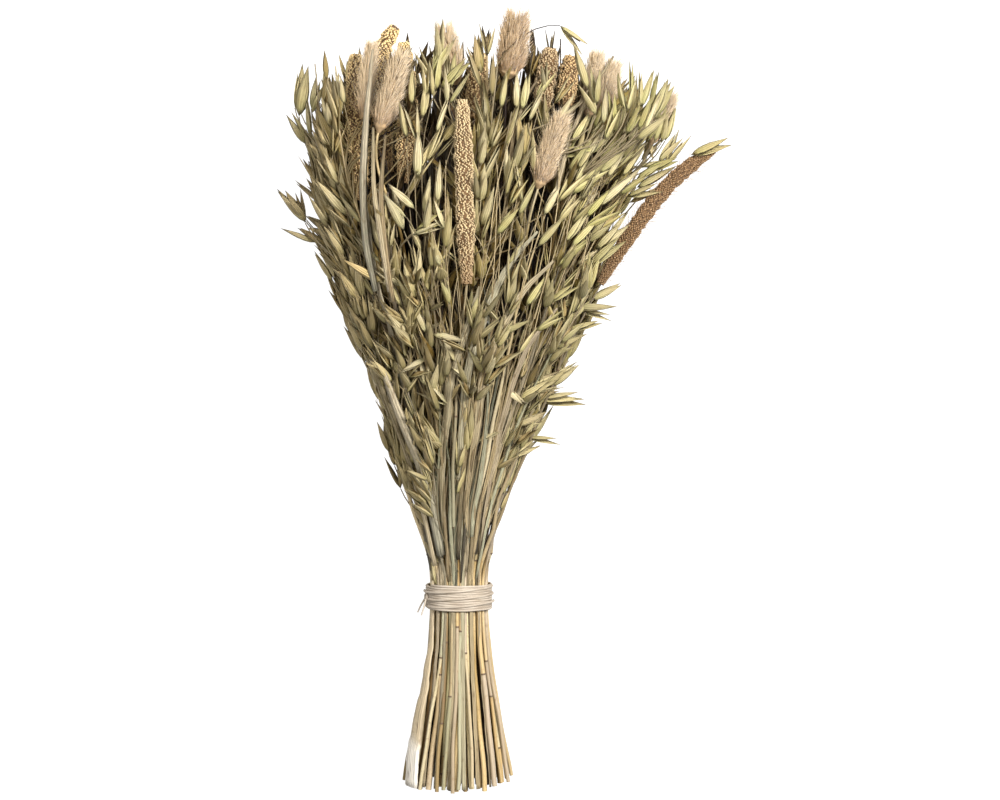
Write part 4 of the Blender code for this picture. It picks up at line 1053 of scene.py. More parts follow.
def fill(tree, node, inputs):
    """Links a node's inputs to sockets or gives them values."""
    for key, value in inputs.items():
        socket = node.inputs[key]
        for source in value if isinstance(value, list) else [value]:
            if isinstance(source, bpy.types.NodeSocket):
                tree.links.new(source, socket)
            else:
                socket.default_value = source


def wire(tree, kind, inputs=None, **settings):
    """Adds a node to a tree, sets it, and links or fills its inputs."""
    node = tree.nodes.new(kind)
    for key, value in settings.items():
        setattr(node, key, value)
    fill(tree, node, inputs or {})
    return node


def maths(tree, operation, *values):
    """A number worked out from one, two or three others."""
    return wire(tree, "ShaderNodeMath", dict(enumerate(values)), operation=operation).outputs[0]


def added(tree, first, second):
    """The sum of two vectors."""
    return wire(tree, "ShaderNodeVectorMath", {0: first, 1: second}, operation="ADD").outputs[0]


def scaled(tree, vector, scale):
    """A vector made longer or shorter."""
    return wire(tree, "ShaderNodeVectorMath", {0: vector, "Scale": scale}, operation="SCALE").outputs[0]


def combined(tree, **axes):
    """A vector put together from its parts."""
    return wire(tree, "ShaderNodeCombineXYZ", axes).outputs[0]


def new_tree(name, **sockets):
    """A tree of geometry nodes with the inputs listed under each kind, and its ends."""
    tree = bpy.data.node_groups.new(name, "GeometryNodeTree")
    tree.interface.new_socket("Geometry", in_out="INPUT", socket_type="NodeSocketGeometry")
    for kind, labels in sockets.items():
        for label in labels.split(", "):
            tree.interface.new_socket(label, in_out="INPUT", socket_type="NodeSocket" + kind)
    tree.interface.new_socket("Geometry", in_out="OUTPUT", socket_type="NodeSocketGeometry")
    facts = {socket.name: socket for socket in tree.nodes.new("NodeGroupInput").outputs}
    return tree, facts, tree.nodes.new("NodeGroupOutput").inputs[0]


def joined(tree, branches, outlet):
    """Leads all branches of a tree to its end."""
    together = wire(tree, "GeometryNodeJoinGeometry", {"Geometry": branches})
    tree.links.new(together.outputs[0], outlet)


def named(tree, name, kind="FLOAT"):
    """The socket of a named attribute."""
    return wire(tree, "GeometryNodeInputNamedAttribute", {"Name": name}, data_type=kind).outputs[0]


def keep_part(tree, geometry, part):
    """Only the lines or spots of one part."""
    sides = {2: named(tree, "part", "INT"), 3: part}
    same = wire(tree, "FunctionNodeCompare", sides, data_type="INT", operation="EQUAL").outputs[0]
    split = {"Geometry": geometry, "Selection": same}
    return wire(tree, "GeometryNodeSeparateGeometry", split).outputs[0]


def store(tree, geometry, name, value, kind="FLOAT"):
    """Keeps a value at every point under a name."""
    kept = {"Geometry": geometry, "Name": name, "Value": value}
    return wire(tree, "GeometryNodeStoreNamedAttribute", kept, data_type=kind, domain="POINT").outputs[0]


def finished(tree, geometry, finish):
    """Smooth shading, real meshes in place of instances, and the finish."""
    smooth = wire(tree, "GeometryNodeSetShadeSmooth", {"Geometry": geometry})
    real = wire(tree, "GeometryNodeRealizeInstances", {"Geometry": smooth.outputs[0]})
    coated = wire(tree, "GeometryNodeSetMaterial", {"Geometry": real.outputs[0], "Material": finish})
    return coated.outputs[0]


def measured(tree, curve):
    """A curve that keeps how far along it each point lies."""
    return store(tree, curve, "along", wire(tree, "GeometryNodeSplineParameter").outputs["Length"])


def swept(tree, curve, sides, thick, finish):
    """A round strand on a curve, which keeps how far round it each point lies."""
    ring = wire(tree, "GeometryNodeCurvePrimitiveCircle", {"Resolution": sides, "Radius": 1.0}).outputs[0]
    ring = store(tree, ring, "round", wire(tree, "GeometryNodeSplineParameter").outputs["Factor"])
    strand = {"Curve": curve, "Profile Curve": ring, "Scale": thick, "Fill Caps": True}
    return finished(tree, wire(tree, "GeometryNodeCurveToMesh", strand).outputs[0], finish)


def tubes(tree, lines, sides, thick, finish):
    """Lines turned into round straws."""
    curve = wire(tree, "GeometryNodeMeshToCurve", {"Mesh": lines}).outputs[0]
    return swept(tree, measured(tree, curve), sides, thick, finish)


def on_spots(tree, spots, shapes, finish):
    """A ready-made shape at each spot, turned and sized as the spot says."""
    pool = {"Collection": shapes, "Separate Children": True, "Reset Children": True}
    placed = {
        "Points": spots, "Instance": wire(tree, "GeometryNodeCollectionInfo", pool).outputs[0],
        "Pick Instance": True, "Instance Index": named(tree, "pick", "INT"),
        "Rotation": named(tree, "turn", "FLOAT_VECTOR"), "Scale": named(tree, "thick"),
    }
    return finished(tree, wire(tree, "GeometryNodeInstanceOnPoints", placed).outputs[0], finish)


def round_spike(tree, spike, facts):
    """Grains or hairs set round a spike in a golden spiral, leaning towards its tip."""
    curve = wire(tree, "GeometryNodeMeshToCurve", {"Mesh": spike}).outputs[0]
    index = wire(tree, "GeometryNodeInputIndex").outputs[0]
    share = maths(tree, "DIVIDE", maths(tree, "ADD", index, 0.5), facts["Count"])

    def sampled(name, kind):
        inputs = {"Curves": curve, "Value": named(tree, name, kind), "Factor": share}
        settings = {"data_type": kind, "mode": "FACTOR", "use_all_curves": True}
        return wire(tree, "GeometryNodeSampleCurve", inputs, **settings).outputs

    def draw(low, high, seed):
        seeded = maths(tree, "ADD", facts["Seed"], float(seed))
        inputs = {2: low, 3: high, "ID": index, "Seed": seeded}
        return wire(tree, "FunctionNodeRandomValue", inputs, data_type="FLOAT").outputs[1]

    on_line, tints = sampled("thick", "FLOAT"), sampled("tint", "FLOAT_VECTOR")
    tangent = on_line["Tangent"]
    turns = maths(tree, "MULTIPLY_ADD", index, GOLDEN_ANGLE, draw(*TURN_JITTER, 1))
    about = wire(tree, "FunctionNodeAxisAngleToRotation", {"Axis": tangent, "Angle": turns}).outputs[0]
    out = {"Vector": on_line["Normal"], "Rotation": about}
    out = wire(tree, "FunctionNodeRotateVector", out).outputs[0]
    offset = scaled(tree, out, maths(tree, "MULTIPLY", on_line["Value"], facts["Seat"]))
    lean = maths(tree, "ADD", facts["Lean"], draw(*LEAN_JITTER, 2))
    outwards = scaled(tree, out, maths(tree, "SINE", lean))
    onwards = scaled(tree, tangent, maths(tree, "COSINE", lean))
    aim = {"Vector": added(tree, outwards, onwards)}
    spots = {"Count": facts["Count"], "Position": on_line["Position"]}
    spots = wire(tree, "GeometryNodePoints", spots).outputs[0]
    moved = wire(tree, "GeometryNodeSetPosition", {"Geometry": spots, "Offset": offset}).outputs[0]
    shade = scaled(tree, tints["Value"], draw(*SHADE_JITTER, 3))
    placed = {
        "Points": store(tree, moved, "tint", shade, "FLOAT_VECTOR"), "Instance": facts["Shape"],
        "Rotation": wire(tree, "FunctionNodeAlignRotationToVector", aim, axis="Z").outputs[0],
        "Scale": draw(*SIZE_JITTER, 4),
    }
    return wire(tree, "GeometryNodeInstanceOnPoints", placed).outputs[0]


def stalk_tree():
    """Straws, finer twigs and spikelets of an oat stalk, all from one mesh of lines and spots."""
    tree, facts, outlet = new_tree(
        "oat_stalk", Int="Straw sides, Twig sides", Collection="Spikelets",
        Material="Straw finish, Spikelet finish",
    )
    thick = named(tree, "thick")
    straws, twigs, spots = (keep_part(tree, facts["Geometry"], part) for part in (STRAW, TWIG, SPOT))
    branches = [
        tubes(tree, straws, facts["Straw sides"], thick, facts["Straw finish"]),
        tubes(tree, twigs, facts["Twig sides"], thick, facts["Straw finish"]),
        on_spots(tree, spots, facts["Spikelets"], facts["Spikelet finish"]),
    ]
    joined(tree, branches, outlet)
    return tree


def spike_tree():
    """A straw that ends in a spike or a tail: a core with shapes set round it."""
    tree, facts, outlet = new_tree(
        "spike_on_straw", Int="Straw sides, Core sides, Count, Bristle count, Seed",
        Float="Core share, Seat, Lean, Bristle lean", Object="Shape, Bristle", Collection="Spikelets",
        Material="Straw finish, Core finish, Shape finish, Bristle finish, Spikelet finish",
    )
    thick = named(tree, "thick")
    straws, twigs, spots, spike = (
        keep_part(tree, facts["Geometry"], part) for part in (STRAW, TWIG, SPOT, SPIKE)
    )
    grain, bristle = (
        wire(tree, "GeometryNodeObjectInfo", {"Object": facts[name]}).outputs["Geometry"]
        for name in ("Shape", "Bristle")
    )
    grains = {**facts, "Shape": grain}
    bristles = {**facts, "Shape": bristle, "Count": facts["Bristle count"], "Lean": facts["Bristle lean"]}
    core = maths(tree, "MULTIPLY", thick, facts["Core share"])
    branches = [
        tubes(tree, straws, facts["Straw sides"], thick, facts["Straw finish"]),
        tubes(tree, twigs, facts["Straw sides"], thick, facts["Straw finish"]),
        tubes(tree, spike, facts["Core sides"], core, facts["Core finish"]),
        finished(tree, round_spike(tree, spike, grains), facts["Shape finish"]),
        finished(tree, round_spike(tree, spike, bristles), facts["Bristle finish"]),
        on_spots(tree, spots, facts["Spikelets"], facts["Spikelet finish"]),
    ]
    joined(tree, branches, outlet)
    return tree


def twine_tree():
    """Turns of twine wound round Y, a little uneven, as a tube on a spiral."""
    tree, facts, outlet = new_tree(
        "wound_twine", Float="Turns, Width, Radius, Strand, Unevenness, Tilt, Height, Seed",
        Material="Finish",
    )
    spiral = {
        "Resolution": TWINE_POINTS, "Rotations": facts["Turns"], "Start Radius": facts["Radius"],
        "End Radius": facts["Radius"], "Height": facts["Width"],
    }
    spiral = measured(tree, wire(tree, "GeometryNodeCurveSpiral", spiral).outputs[0])
    stir = {"Vector": wire(tree, "GeometryNodeInputPosition").outputs[0], "W": facts["Seed"]}
    stir.update({"Scale": TWINE_STIR, "Detail": 1.0})
    stirred = wire(tree, "ShaderNodeTexNoise", stir, noise_dimensions="4D").outputs["Color"]
    pushed = scaled(tree, added(tree, stirred, (-0.5, -0.5, -0.5)), facts["Unevenness"])
    uneven = wire(tree, "GeometryNodeSetPosition", {"Geometry": spiral, "Offset": pushed}).outputs[0]
    lowered = combined(tree, Z=maths(tree, "MULTIPLY", facts["Width"], -0.5))
    centred = wire(tree, "GeometryNodeTransform", {"Geometry": uneven, "Translation": lowered})
    seat = {
        "Geometry": centred.outputs[0], "Translation": combined(tree, Z=facts["Height"]),
        "Rotation": combined(tree, X=math.radians(-90), Z=facts["Tilt"]),
    }
    seated = wire(tree, "GeometryNodeTransform", seat).outputs[0]
    tree.links.new(swept(tree, seated, TWINE_SIDES, facts["Strand"], facts["Finish"]), outlet)
    return tree


def made_plain(obj):
    """Puts the finished mesh in place of the object's own and drops its modifier."""
    graph = bpy.context.evaluated_depsgraph_get()
    made = bpy.data.meshes.new_from_object(obj.evaluated_get(graph))
    obj.modifiers.clear()
    obj.data = made


def cage_mesh(cage, name):
    """A mesh made of a cage, which is then given up."""
    mesh = bpy.data.meshes.new(name)
    cage.to_mesh(mesh)
    cage.free()
    return mesh


def merged(name, meshes):
    """One mesh made of several."""
    cage = bmesh.new()
    for mesh in meshes:
        cage.from_mesh(mesh)
    return cage_mesh(cage, name)


def grow(name, mesh, tree, inputs):
    """The plain mesh that a tree makes of a mesh of lines and spots, as an object."""
    obj = bpy.data.objects.new(name, mesh)
    bpy.context.scene.collection.objects.link(obj)
    grown = obj.modifiers.new("grown", "NODES")
    grown.node_group = tree
    sockets = {item.name: item.identifier for item in tree.interface.items_tree if item.in_out == "INPUT"}
    for label, value in inputs.items():
        grown[sockets[label]] = value
    made_plain(obj)
    bpy.data.meshes.remove(mesh)
    return obj


def place_piece(obj, node):
    """Moves the piece's mesh from the layout into the frame and hands it to the frame."""
    obj.data.transform(Matrix.Translation(TO_FRAME))
    for vertex in obj.data.vertices:
        vertex.co.z = max(vertex.co.z, 0)
    obj.data.update()
    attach(obj, "root")
    if node:
        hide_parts(node)


# Shapes that repeat


def shaped_balls(name, parts):
    """An object of closed shapes, each a ball whose vertices are put where place says."""
    cage = bmesh.new()
    layers = [cage.verts.layers.float.new(key) for key in ("along", "across", "inner")]
    for sides, rings, place in parts:
        made = bmesh.ops.create_uvsphere(cage, u_segments=sides, v_segments=rings, radius=1)
        for vertex in made["verts"]:
            ring = round((1 - math.acos(max(-1, min(1, vertex.co.z))) / math.pi) * rings)
            step = round(math.atan2(vertex.co.y, vertex.co.x) / (2 * math.pi) * sides) % sides
            vertex.co, facts = place(step, ring)
            for layer, value in zip(layers, facts):
                vertex[layer] = value
    return bpy.data.objects.new(name, cage_mesh(cage, name))


def glume(length, half_width, opening, curl, facing):
    """One papery scale of a spikelet: a boat that bulges outwards and ends in a point."""

    def place(step, ring):
        share = ring / GLUME_RINGS
        across, arch = GLUME_SECTION[step]
        half = half_width * max(0.0, math.sin(math.pi * share**GLUME_BELLY)) ** GLUME_TAPER
        spread = length * (math.tan(opening) * share + curl * share * share)
        outwards = spread + arch * GLUME_BULGE * half
        return Vector((facing * across * half, facing * outwards, share * length)), (share, across, 0)

    return len(GLUME_SECTION), GLUME_RINGS, place


def floret(start, length, radius, lean, facing):
    """A plump floret inside the scales."""

    def place(step, ring):
        share = ring / FLORET_RINGS
        size = radius * math.sin(math.pi * share**0.8)
        angle = 2 * math.pi * step / FLORET_SIDES
        aside = facing * (0.5 * MM + lean * share * length) + size * math.sin(angle)
        return Vector((size * math.cos(angle), aside, start + share * length)), (share, math.cos(angle), 1)

    return FLORET_SIDES, FLORET_RINGS, place


def spikelet_shapes():
    """The ready-made spikelets, from closed to wide open, in a collection of their own."""
    shapes = bpy.data.collections.new("spikelets")
    for number, (half_width, opening, curl, shorter, florets) in enumerate(SPIKELETS):
        opening = math.radians(opening)
        lean = 0.5 * math.tan(opening)
        parts = [
            glume(SPIKELET_LENGTH, half_width * MM, opening, curl, 1),
            glume(SPIKELET_LENGTH * shorter, half_width * MM, opening, curl, -1),
        ]
        for turn in range(florets):
            facing = 1 if turn % 2 else -1
            parts.append(floret((3 + 3 * turn) * MM, FLORET_LENGTH, FLORET_RADIUS, lean, facing))
        shapes.objects.link(shaped_balls(f"spikelet_{number}", parts))
    return shapes


def grain_shape():
    """A swollen millet grain, a little longer than wide."""

    def place(step, ring):
        angle = 2 * math.pi * step / 6
        size = GRAIN_RADIUS if ring == 1 else 0
        height = (ring - 1) * 1.15 * GRAIN_RADIUS
        return Vector((size * math.cos(angle), size * math.sin(angle), height)), (ring / 2, 0, 0)

    return shaped_balls("grain", [(6, 2, place)])


def hair_shape(name, length, radius, bend):
    """One fine hair: a three-sided point that bows a little."""

    def place(step, ring):
        share = ring / HAIR_RINGS
        size = radius * (1 - 0.8 * share) if 0 < ring < HAIR_RINGS else 0
        angle = 2 * math.pi * step / 3
        aside = bend * length * share * share + size * math.cos(angle)
        return Vector((aside, size * math.sin(angle), share * length)), (share, 0, 0)

    return shaped_balls(name, [(3, HAIR_RINGS, place)])


# The stalks


def painted_depth_shade(points):
    """Painted shade: straw and husks darker and browner towards the middle of the bunch, where shade falls.
    """
    points = np.atleast_2d(points)
    half_width, half_height, middle_x, middle_z = section(points[:, 1])
    out = np.hypot((points[:, 0] - middle_x) / half_width, (points[:, 2] - middle_z) / half_height)
    share = np.interp(out, (0.72, 1.03), (DEEPEST_PAINTED_SHADE, 1))[:, None]
    return np.hstack((share, share**1.28, share**2.2))


def knuckle_marks(at, places):
    """How close each distance is to a knuckle, from 0 to 1."""
    if len(places) == 0:
        return np.zeros(len(at))
    nearest = np.abs(at[:, None] - np.array(places)[None]).min(axis=1)
    return np.clip(1 - nearest / KNUCKLE_REACH, 0, 1)


def edges(y):
    """The outline's left and right x at y, as the camera sees it."""
    return [np.interp(y, OUTLINE[:, 0], OUTLINE[:, side]) for side in (1, 2)]


def drawn_side(points):
    """How far straws move aside, a little above the winding, to keep within the outline."""
    x, y = seen(points.T)
    left, right = edges(y)
    aside = np.clip(left - x, 0, 4 * MM) - np.clip(x - right, 0, 4 * MM)
    return aside * np.interp(points[:, 1], MM * np.array((12, 34, 120, 160)), (0, 1, 1, 0))


def painted_gap_shade(points, shade):
    """Painted shade on a straw that lies in a gap: above the winding, and at the left below it."""
    above = np.clip((points[:, 1] - 8 * MM) / (18 * MM), 0, 1)
    below = np.clip((-points[:, 1] - 8 * MM) / (18 * MM), 0, 1)
    below = below * np.interp(points[:, 0], (-12 * MM, 8 * MM), (0.6, 0.15))
    share = 1 - (1 - shade) * (above + below)
    middle = float(np.interp(-58 * MM, points[:, 1], points[:, 0]))
    if PAINTED_DARK_GAP[0] < middle < PAINTED_DARK_GAP[1]:
        share = share * np.interp(points[:, 1], (-40 * MM, -14 * MM), (0.3, 1))
    share = share[:, None]
    return np.hstack((share, share**1.15, share**1.6))


def dress_straw(growth, stalk, random, tints, shade=1.0):
    """The stalk's own straw, from its cut end to its tip, with painted shade where it lies deep or in a gap;
    returns its smooth line.
    """
    line = stalk.line.copy()
    line[0] = line[0] - unit(line[1] - line[0]) * random.uniform(-3, 3) * MM
    lengths = lengths_along(line)
    knuckles = [
        (low + random.uniform(0, high - low)) * MM
        for low, high, chance in KNUCKLE_RANGES
        if random.uniform() < chance and high * MM < lengths[-1] - 20 * MM
    ]
    steps = [k + s * KNUCKLE_REACH for k in knuckles for s in KNUCKLE_STEPS]
    at = np.sort(np.concatenate((np.linspace(0, lengths[-1], int(lengths[-1] / STRAW_STEP)), steps)))
    points = sample_line(line, at)
    loose = np.clip(np.abs(points[:, 1]) / (45 * MM), 0, 1) * np.clip((lengths[-1] - at) / (30 * MM), 0, 1)
    for axis in (0, 2):
        for wave, size in STRAW_WAVES:
            phase = random.uniform(0, 6.28)
            points[:, axis] += loose * size * MM * np.sin(2 * math.pi * at / (wave * MM) + phase)
    points[:, 0] += drawn_side(points)
    y = points[:, 1]
    knot = knuckle_marks(at, knuckles)
    girth = random.uniform(*STRAW_GIRTHS)
    slimmer = np.interp(y, (12 * MM, 60 * MM), (1, 0.84))
    thick = np.interp(at, lengths, stalk.radii) * girth * slimmer * (1 + KNUCKLE_SWELL * knot)
    stretch = np.searchsorted(np.array(sorted(knuckles)), at)
    tint = tints[random.integers(0, len(tints), len(knuckles) + 1)][stretch]
    turns = np.interp(points[:, 0], (0, 15 * MM), (40 * MM, 74 * MM))
    upper = np.clip((y - turns) / (55 * MM), 0, 1)[:, None]
    tint = tint * (1 - upper) + upper * (0.35 * tint + 0.65 * UPPER_STRAW)
    bright = np.interp(y, MM * np.array((-4, 12, 60, 110)), (1, 1.16, 1.16, 1))[:, None]
    # Painted shade: above the winding the thinner straws are darker, standing for the gaps between the
    # others.
    above = np.clip((y - 8 * MM) / (30 * MM), 0, 1)[:, None]
    painted_recess_shade = 1 + above * (np.interp(girth, STRAW_GIRTHS, (0.3, 1.3)) - 1)
    # Painted shade towards the middle of the bunch and on straws in gaps; the straws are also lighter just
    # above the winding.
    tint = tint * bright * painted_recess_shade * painted_depth_shade(points) * painted_gap_shade(points, shade)
    growth.line(STRAW, points, thick, tint, knot)
    return points


def twig_line(growth, root, towards, end, tint):
    """A pedicel that leaves root along towards and runs to end."""
    share = np.linspace(0, 1, TWIG_ROWS)[:, None]
    reach = np.linalg.norm(end - root)
    bent = root + share * (end - root) + (share * (1 - share) ** 2) * reach * (towards - unit(end - root))
    growth.line(TWIG, bent, np.linspace(*PEDICEL_ENDS, TWIG_ROWS), tint * painted_depth_shade(root)[0])


class Twig:
    """A side branch of an oat stalk that carries spikelets as the stalk does."""

    def __init__(self, line):
        self.line = line


def side_branches(growth, axis, stalk, random, tint):
    """Thin branches that leave the stalk below its head and run up beside it."""
    twigs = []
    outermost = stalk.ring == len(RING_COUNTS) - 1
    for turn in range(TWIGS_BY_RING[stalk.ring]):
        lowest = max(20 * MM, stalk.foot - (75 if outermost else 45) * MM)
        start = random.uniform(lowest, stalk.foot + 0.6 * (stalk.end - stalk.foot))
        top = min(stalk.end - 6 * MM, start + random.uniform(55, 120) * MM)
        if top - start < 35 * MM:
            continue
        azimuth = turn * GOLDEN_ANGLE + random.uniform(0, 1)
        outward = random.uniform() < 0.6 and outermost
        if outward:
            azimuth = random.normal(0, 0.7)
        spread = random.uniform(*((9, 30) if outward else (5, 12))) * MM
        rows = np.linspace(start, top, 9)
        points = []
        for y in rows:
            point, along = point_on(axis, y)
            _, _, middle_x, middle_z = section(y)
            out = np.array((point[0] - middle_x, 0, point[2] - middle_z)) + 1e-6
            side = unit(out - along * float(np.dot(out, along)))
            other = np.cross(along, side)
            share = (y - start) / (top - start)
            rise = spread * share**0.8
            points.append(point + rise * (math.cos(azimuth) * side + math.sin(azimuth) * other))
        points = np.array(points)
        points[:, 2] = np.clip(points[:, 2], 2 * MM, HIGHEST - 4 * MM)
        if not inside_outline(points[-1]):
            continue
        growth.line(TWIG, points, np.linspace(0.62, 0.34, len(points)) * MM, tint * painted_depth_shade(points))
        twigs.append(Twig(points))
    return twigs


def fan_targets(random):
    """Where the tips of the long side branches end, in the layout."""
    for side, count in FANS.items():
        for step in range(count):
            share = (step + random.uniform(0.1, 0.9)) / count
            if side == "top":
                x = TOP_LINE[0, 0] + share * (TOP_LINE[-1, 0] - TOP_LINE[0, 0])
                y = top_edge(x) - random.uniform(18, 40) * MM
                _, half_height, _, middle_z = section(y)
                z = middle_z + half_height * random.uniform(-0.5, 0.85)
            elif side == "front":
                y = (62 + 270 * share) * MM
                half_width, half_height, middle_x, middle_z = section(y)
                aside = random.uniform(-0.8, 0.8 if share > 0.3 else 0.1)
                x = middle_x + aside * half_width
                z = middle_z + half_height * math.sqrt(1 - aside * aside) + 3 * MM
            else:
                y = (80 + 255 * share**0.8) * MM
                inwards = 1 if side == "left" else -1
                x = edges(y)[side == "right"] + inwards * random.uniform(9, 19) * MM
                _, half_height, _, middle_z = section(y)
                z = middle_z + half_height * random.uniform(-0.45, 0.6)
            if side != "front":
                x, y = from_camera(x, y, (CAMERA_AT[2] - z) / CAMERA_DROP)
            yield np.array((x, y, min(z, HIGHEST - 6 * MM)))


def share_out_fans(stalks):
    """Each branch's foot and tip, with its single spikelet if it has one, by the stalk's name."""
    random = draws("fan")
    outer = [s for s in stalks if s.kind == "oat" and s.ring >= 2]
    fans = {s.name: [] for s in stalks}

    def give(start, tip, single, short, crowding):
        def reach(stalk):
            if start > stalk.end - short * MM:
                return 1.0
            apart = float(np.linalg.norm(point_on(stalk.line, start)[0] - tip))
            return apart + crowding * MM * len(fans[stalk.name])

        fans[min(outer, key=reach).name].append((start, tip, single))

    for tip in fan_targets(random):
        give(max(BRANCH_LOW, tip[1] - FAN_REACH * random.uniform(0.8, 1.2)), tip, None, 30, 6)
    for husk, tint in single_husks(random):
        start = max(BRANCH_LOW, husk.root[1] - random.uniform(32, 60) * MM)
        give(start, husk.root, (husk, tint), 20, 3)
    return fans


def unseen(x, y, height):
    """The point in the bunch that is seen at x and y, at a share of the bunch's height there."""
    point = np.array((x, y, 0.0))
    for _ in range(4):
        half_width, half_height, middle_x, middle_z = section(point[1])
        aside = float(np.clip((point[0] - middle_x) / half_width, -0.97, 0.97))
        z = middle_z + height * half_height * math.sqrt(1 - aside * aside) + 4 * MM * height
        z = min(z, HIGHEST - 9 * MM)
        point = np.array((*from_camera(x, y, (CAMERA_AT[2] - z) / CAMERA_DROP), z))
    return point


def single_husks(random):
    """The spikelets that the photo shows singly, each with its tint."""
    for foot_x, foot_y, tip_x, tip_y, height, tint in SINGLE_SPIKELETS:
        foot = unseen(foot_x * MM, foot_y * MM, height / 10)
        tip = unseen(tip_x * MM, tip_y * MM, height / 10)
        tip[2] = min(foot[2] + random.uniform(-2, 6) * MM, HIGHEST - 2 * MM)
        ahead = unit(tip - foot)
        flat = unit(np.cross(ahead, (0.05, 0.05, 1)))
        length = max(SINGLE_LENGTH, 1.08 * float(np.linalg.norm(tip - foot)))
        yield Husk(tip - length * ahead, ahead, flat, 0.0, length), HUSK_TINTS[SINGLE_TINTS[tint]]


def fan_branch(growth, axis, start, tip, ahead, tint):
    """A long side branch from the stalk's axis at start to its tip, where it runs ahead."""
    root, along = point_on(axis, start)
    reach = np.linalg.norm(tip - root)
    share = np.linspace(0, 1, BRANCH_ROWS)[:, None]
    arriving = unit(0.75 * unit(tip - root) + 0.45 * (along if ahead is None else 2 * ahead))
    points = hermite(share, reach, root, along, tip, arriving)
    points[:, 2] = np.clip(points[:, 2], 2 * MM, HIGHEST - 2 * MM)
    growth.line(TWIG, points, np.linspace(0.7, 0.34, BRANCH_ROWS) * MM, tint * painted_depth_shade(points))
    return Twig(points)


def from_camera(x, y, scale):
    """A place as the camera sees it, moved nearer to the camera's middle or away from it."""
    return CAMERA_AT[0] + scale * (x - CAMERA_AT[0]), CAMERA_AT[1] + scale * (y - CAMERA_AT[1])


def seen(point):
    """Where the camera sees a point, as x and y on the level at which the photo was measured."""
    return from_camera(point[0], point[1], CAMERA_DROP / (CAMERA_AT[2] - point[2]))


def bare(point):
    """Whether the photo shows only leaves and stems there: over the front, below the spikelets."""
    half_width, _, middle_x, _ = section(point[1])
    aside = (point[0] - middle_x) / half_width
    return point[1] < np.interp(aside, *BARE_BELOW)


def hides_head(points):
    """Whether any of the points lies over one of the heads that stay in view."""
    for middle, radius in open_heads():
        x, y = seen(points.T)
        head_x, head_y = seen(middle.T)
        apart = np.hypot(x[:, None] - head_x, y[:, None] - head_y)
        if ((apart < OPEN_MARGIN * radius) & (points[:, 2][:, None] > middle[:, 2])).any():
            return True
    return False


def open_heads():
    """The middle line and the radius of each head that stays in view."""
    for name in OPEN_HEADS:
        kind, _, points = HEADS[name]
        line = MM * np.array(points, float)
        middle = sample_line(line, np.linspace(0, 1, 9) * lengths_along(line)[-1])
        yield middle, MILLET_RADIUS if kind == "millet" else TAIL_RADIUS


def top_edge(x):
    """The outline's highest y at x, as the camera sees it."""
    return np.interp(x, TOP_LINE[:, 0], TOP_LINE[:, 1])


def inside_outline(point):
    """Whether the camera sees a point inside the bunch's outline."""
    x, y = seen(point)
    left, right = edges(y)
    return left < x < right and y < top_edge(x)


def drawn_in(husk):
    """The husk, closer to its stalk if its tip would stand out of the bunch's outline."""
    for bend, share in ((0, 1), (0.3, 0.95), (0.6, 0.88), (1.0, 0.8)):
        ahead = unit(husk.ahead + bend * np.array((0, 1, 0)))
        flat = unit(np.cross(ahead, np.cross(husk.flat, ahead)))
        kept = Husk(husk.root, ahead, flat, share * husk.pedicel, share * husk.length)
        tip = kept.root + (kept.pedicel + kept.length) * kept.ahead
        if inside_outline(tip):
            return kept
    x, y = seen(tip)
    left, right = edges(y)
    aside = np.clip(left - x, 0, 7 * MM) - np.clip(x - right, 0, 7 * MM)
    kept.root = kept.root + np.array((aside, -np.clip(y - top_edge(x), 0, 9 * MM), 0))
    return kept


def add_spikelet(growth, husk, root, along, random, tint, reach_tint):
    """A spikelet at a husk's place, on its thin bent pedicel."""
    foot = husk.root + husk.pedicel * husk.ahead
    if husk.pedicel > SHORTEST_PEDICEL:
        twig_line(growth, root, along, foot + 0.8 * MM * husk.ahead, reach_tint)
    turned = Matrix((husk.flat, np.cross(husk.ahead, husk.flat), husk.ahead)).transposed()
    spin = Matrix.Rotation(random.uniform(-1.2, 1.2), 3, "Z")
    turn = (turned @ spin).to_euler()
    pick = int(random.choice(len(SPIKELETS), p=SPIKELET_SHARES))
    growth.spot(SPOT, foot, tuple(turn), husk.length / SPIKELET_LENGTH, tint, pick)


def spikelet_tint(point, random):
    """Browner on the left of the bunch, greener on the right, palest in front; painted shade low on the
    right and towards the middle, painted light on the left.
    """
    side = np.clip((point[0] - 10 * MM) / (95 * MM), -1, 1)
    olive, green, pale, brown = (HUSK_TINTS[name] for name in SINGLE_TINTS)
    tint = olive + max(0, -side) * 0.8 * (brown - olive) + max(0, side) * 0.5 * (green - olive)
    front = np.clip((point[2] - 90 * MM) / (40 * MM), 0, 1)
    tint = tint + (pale - tint) * random.uniform(0, 0.45 + 0.35 * front)
    if random.uniform() < 0.1:
        tint = tint + 0.6 * (brown - tint)
    # Painted shade low on the right, against the main light there, and painted light on the left side, which
    # lies in shade.
    painted_shade_low_right = max(0, side) * np.clip((200 * MM - point[1]) / (60 * MM), 0, 1)
    light = 1 - 0.36 * painted_shade_low_right + 0.1 * max(0, -side)
    return tint * random.uniform(0.5, 1.14) * light * painted_depth_shade(point)[0]


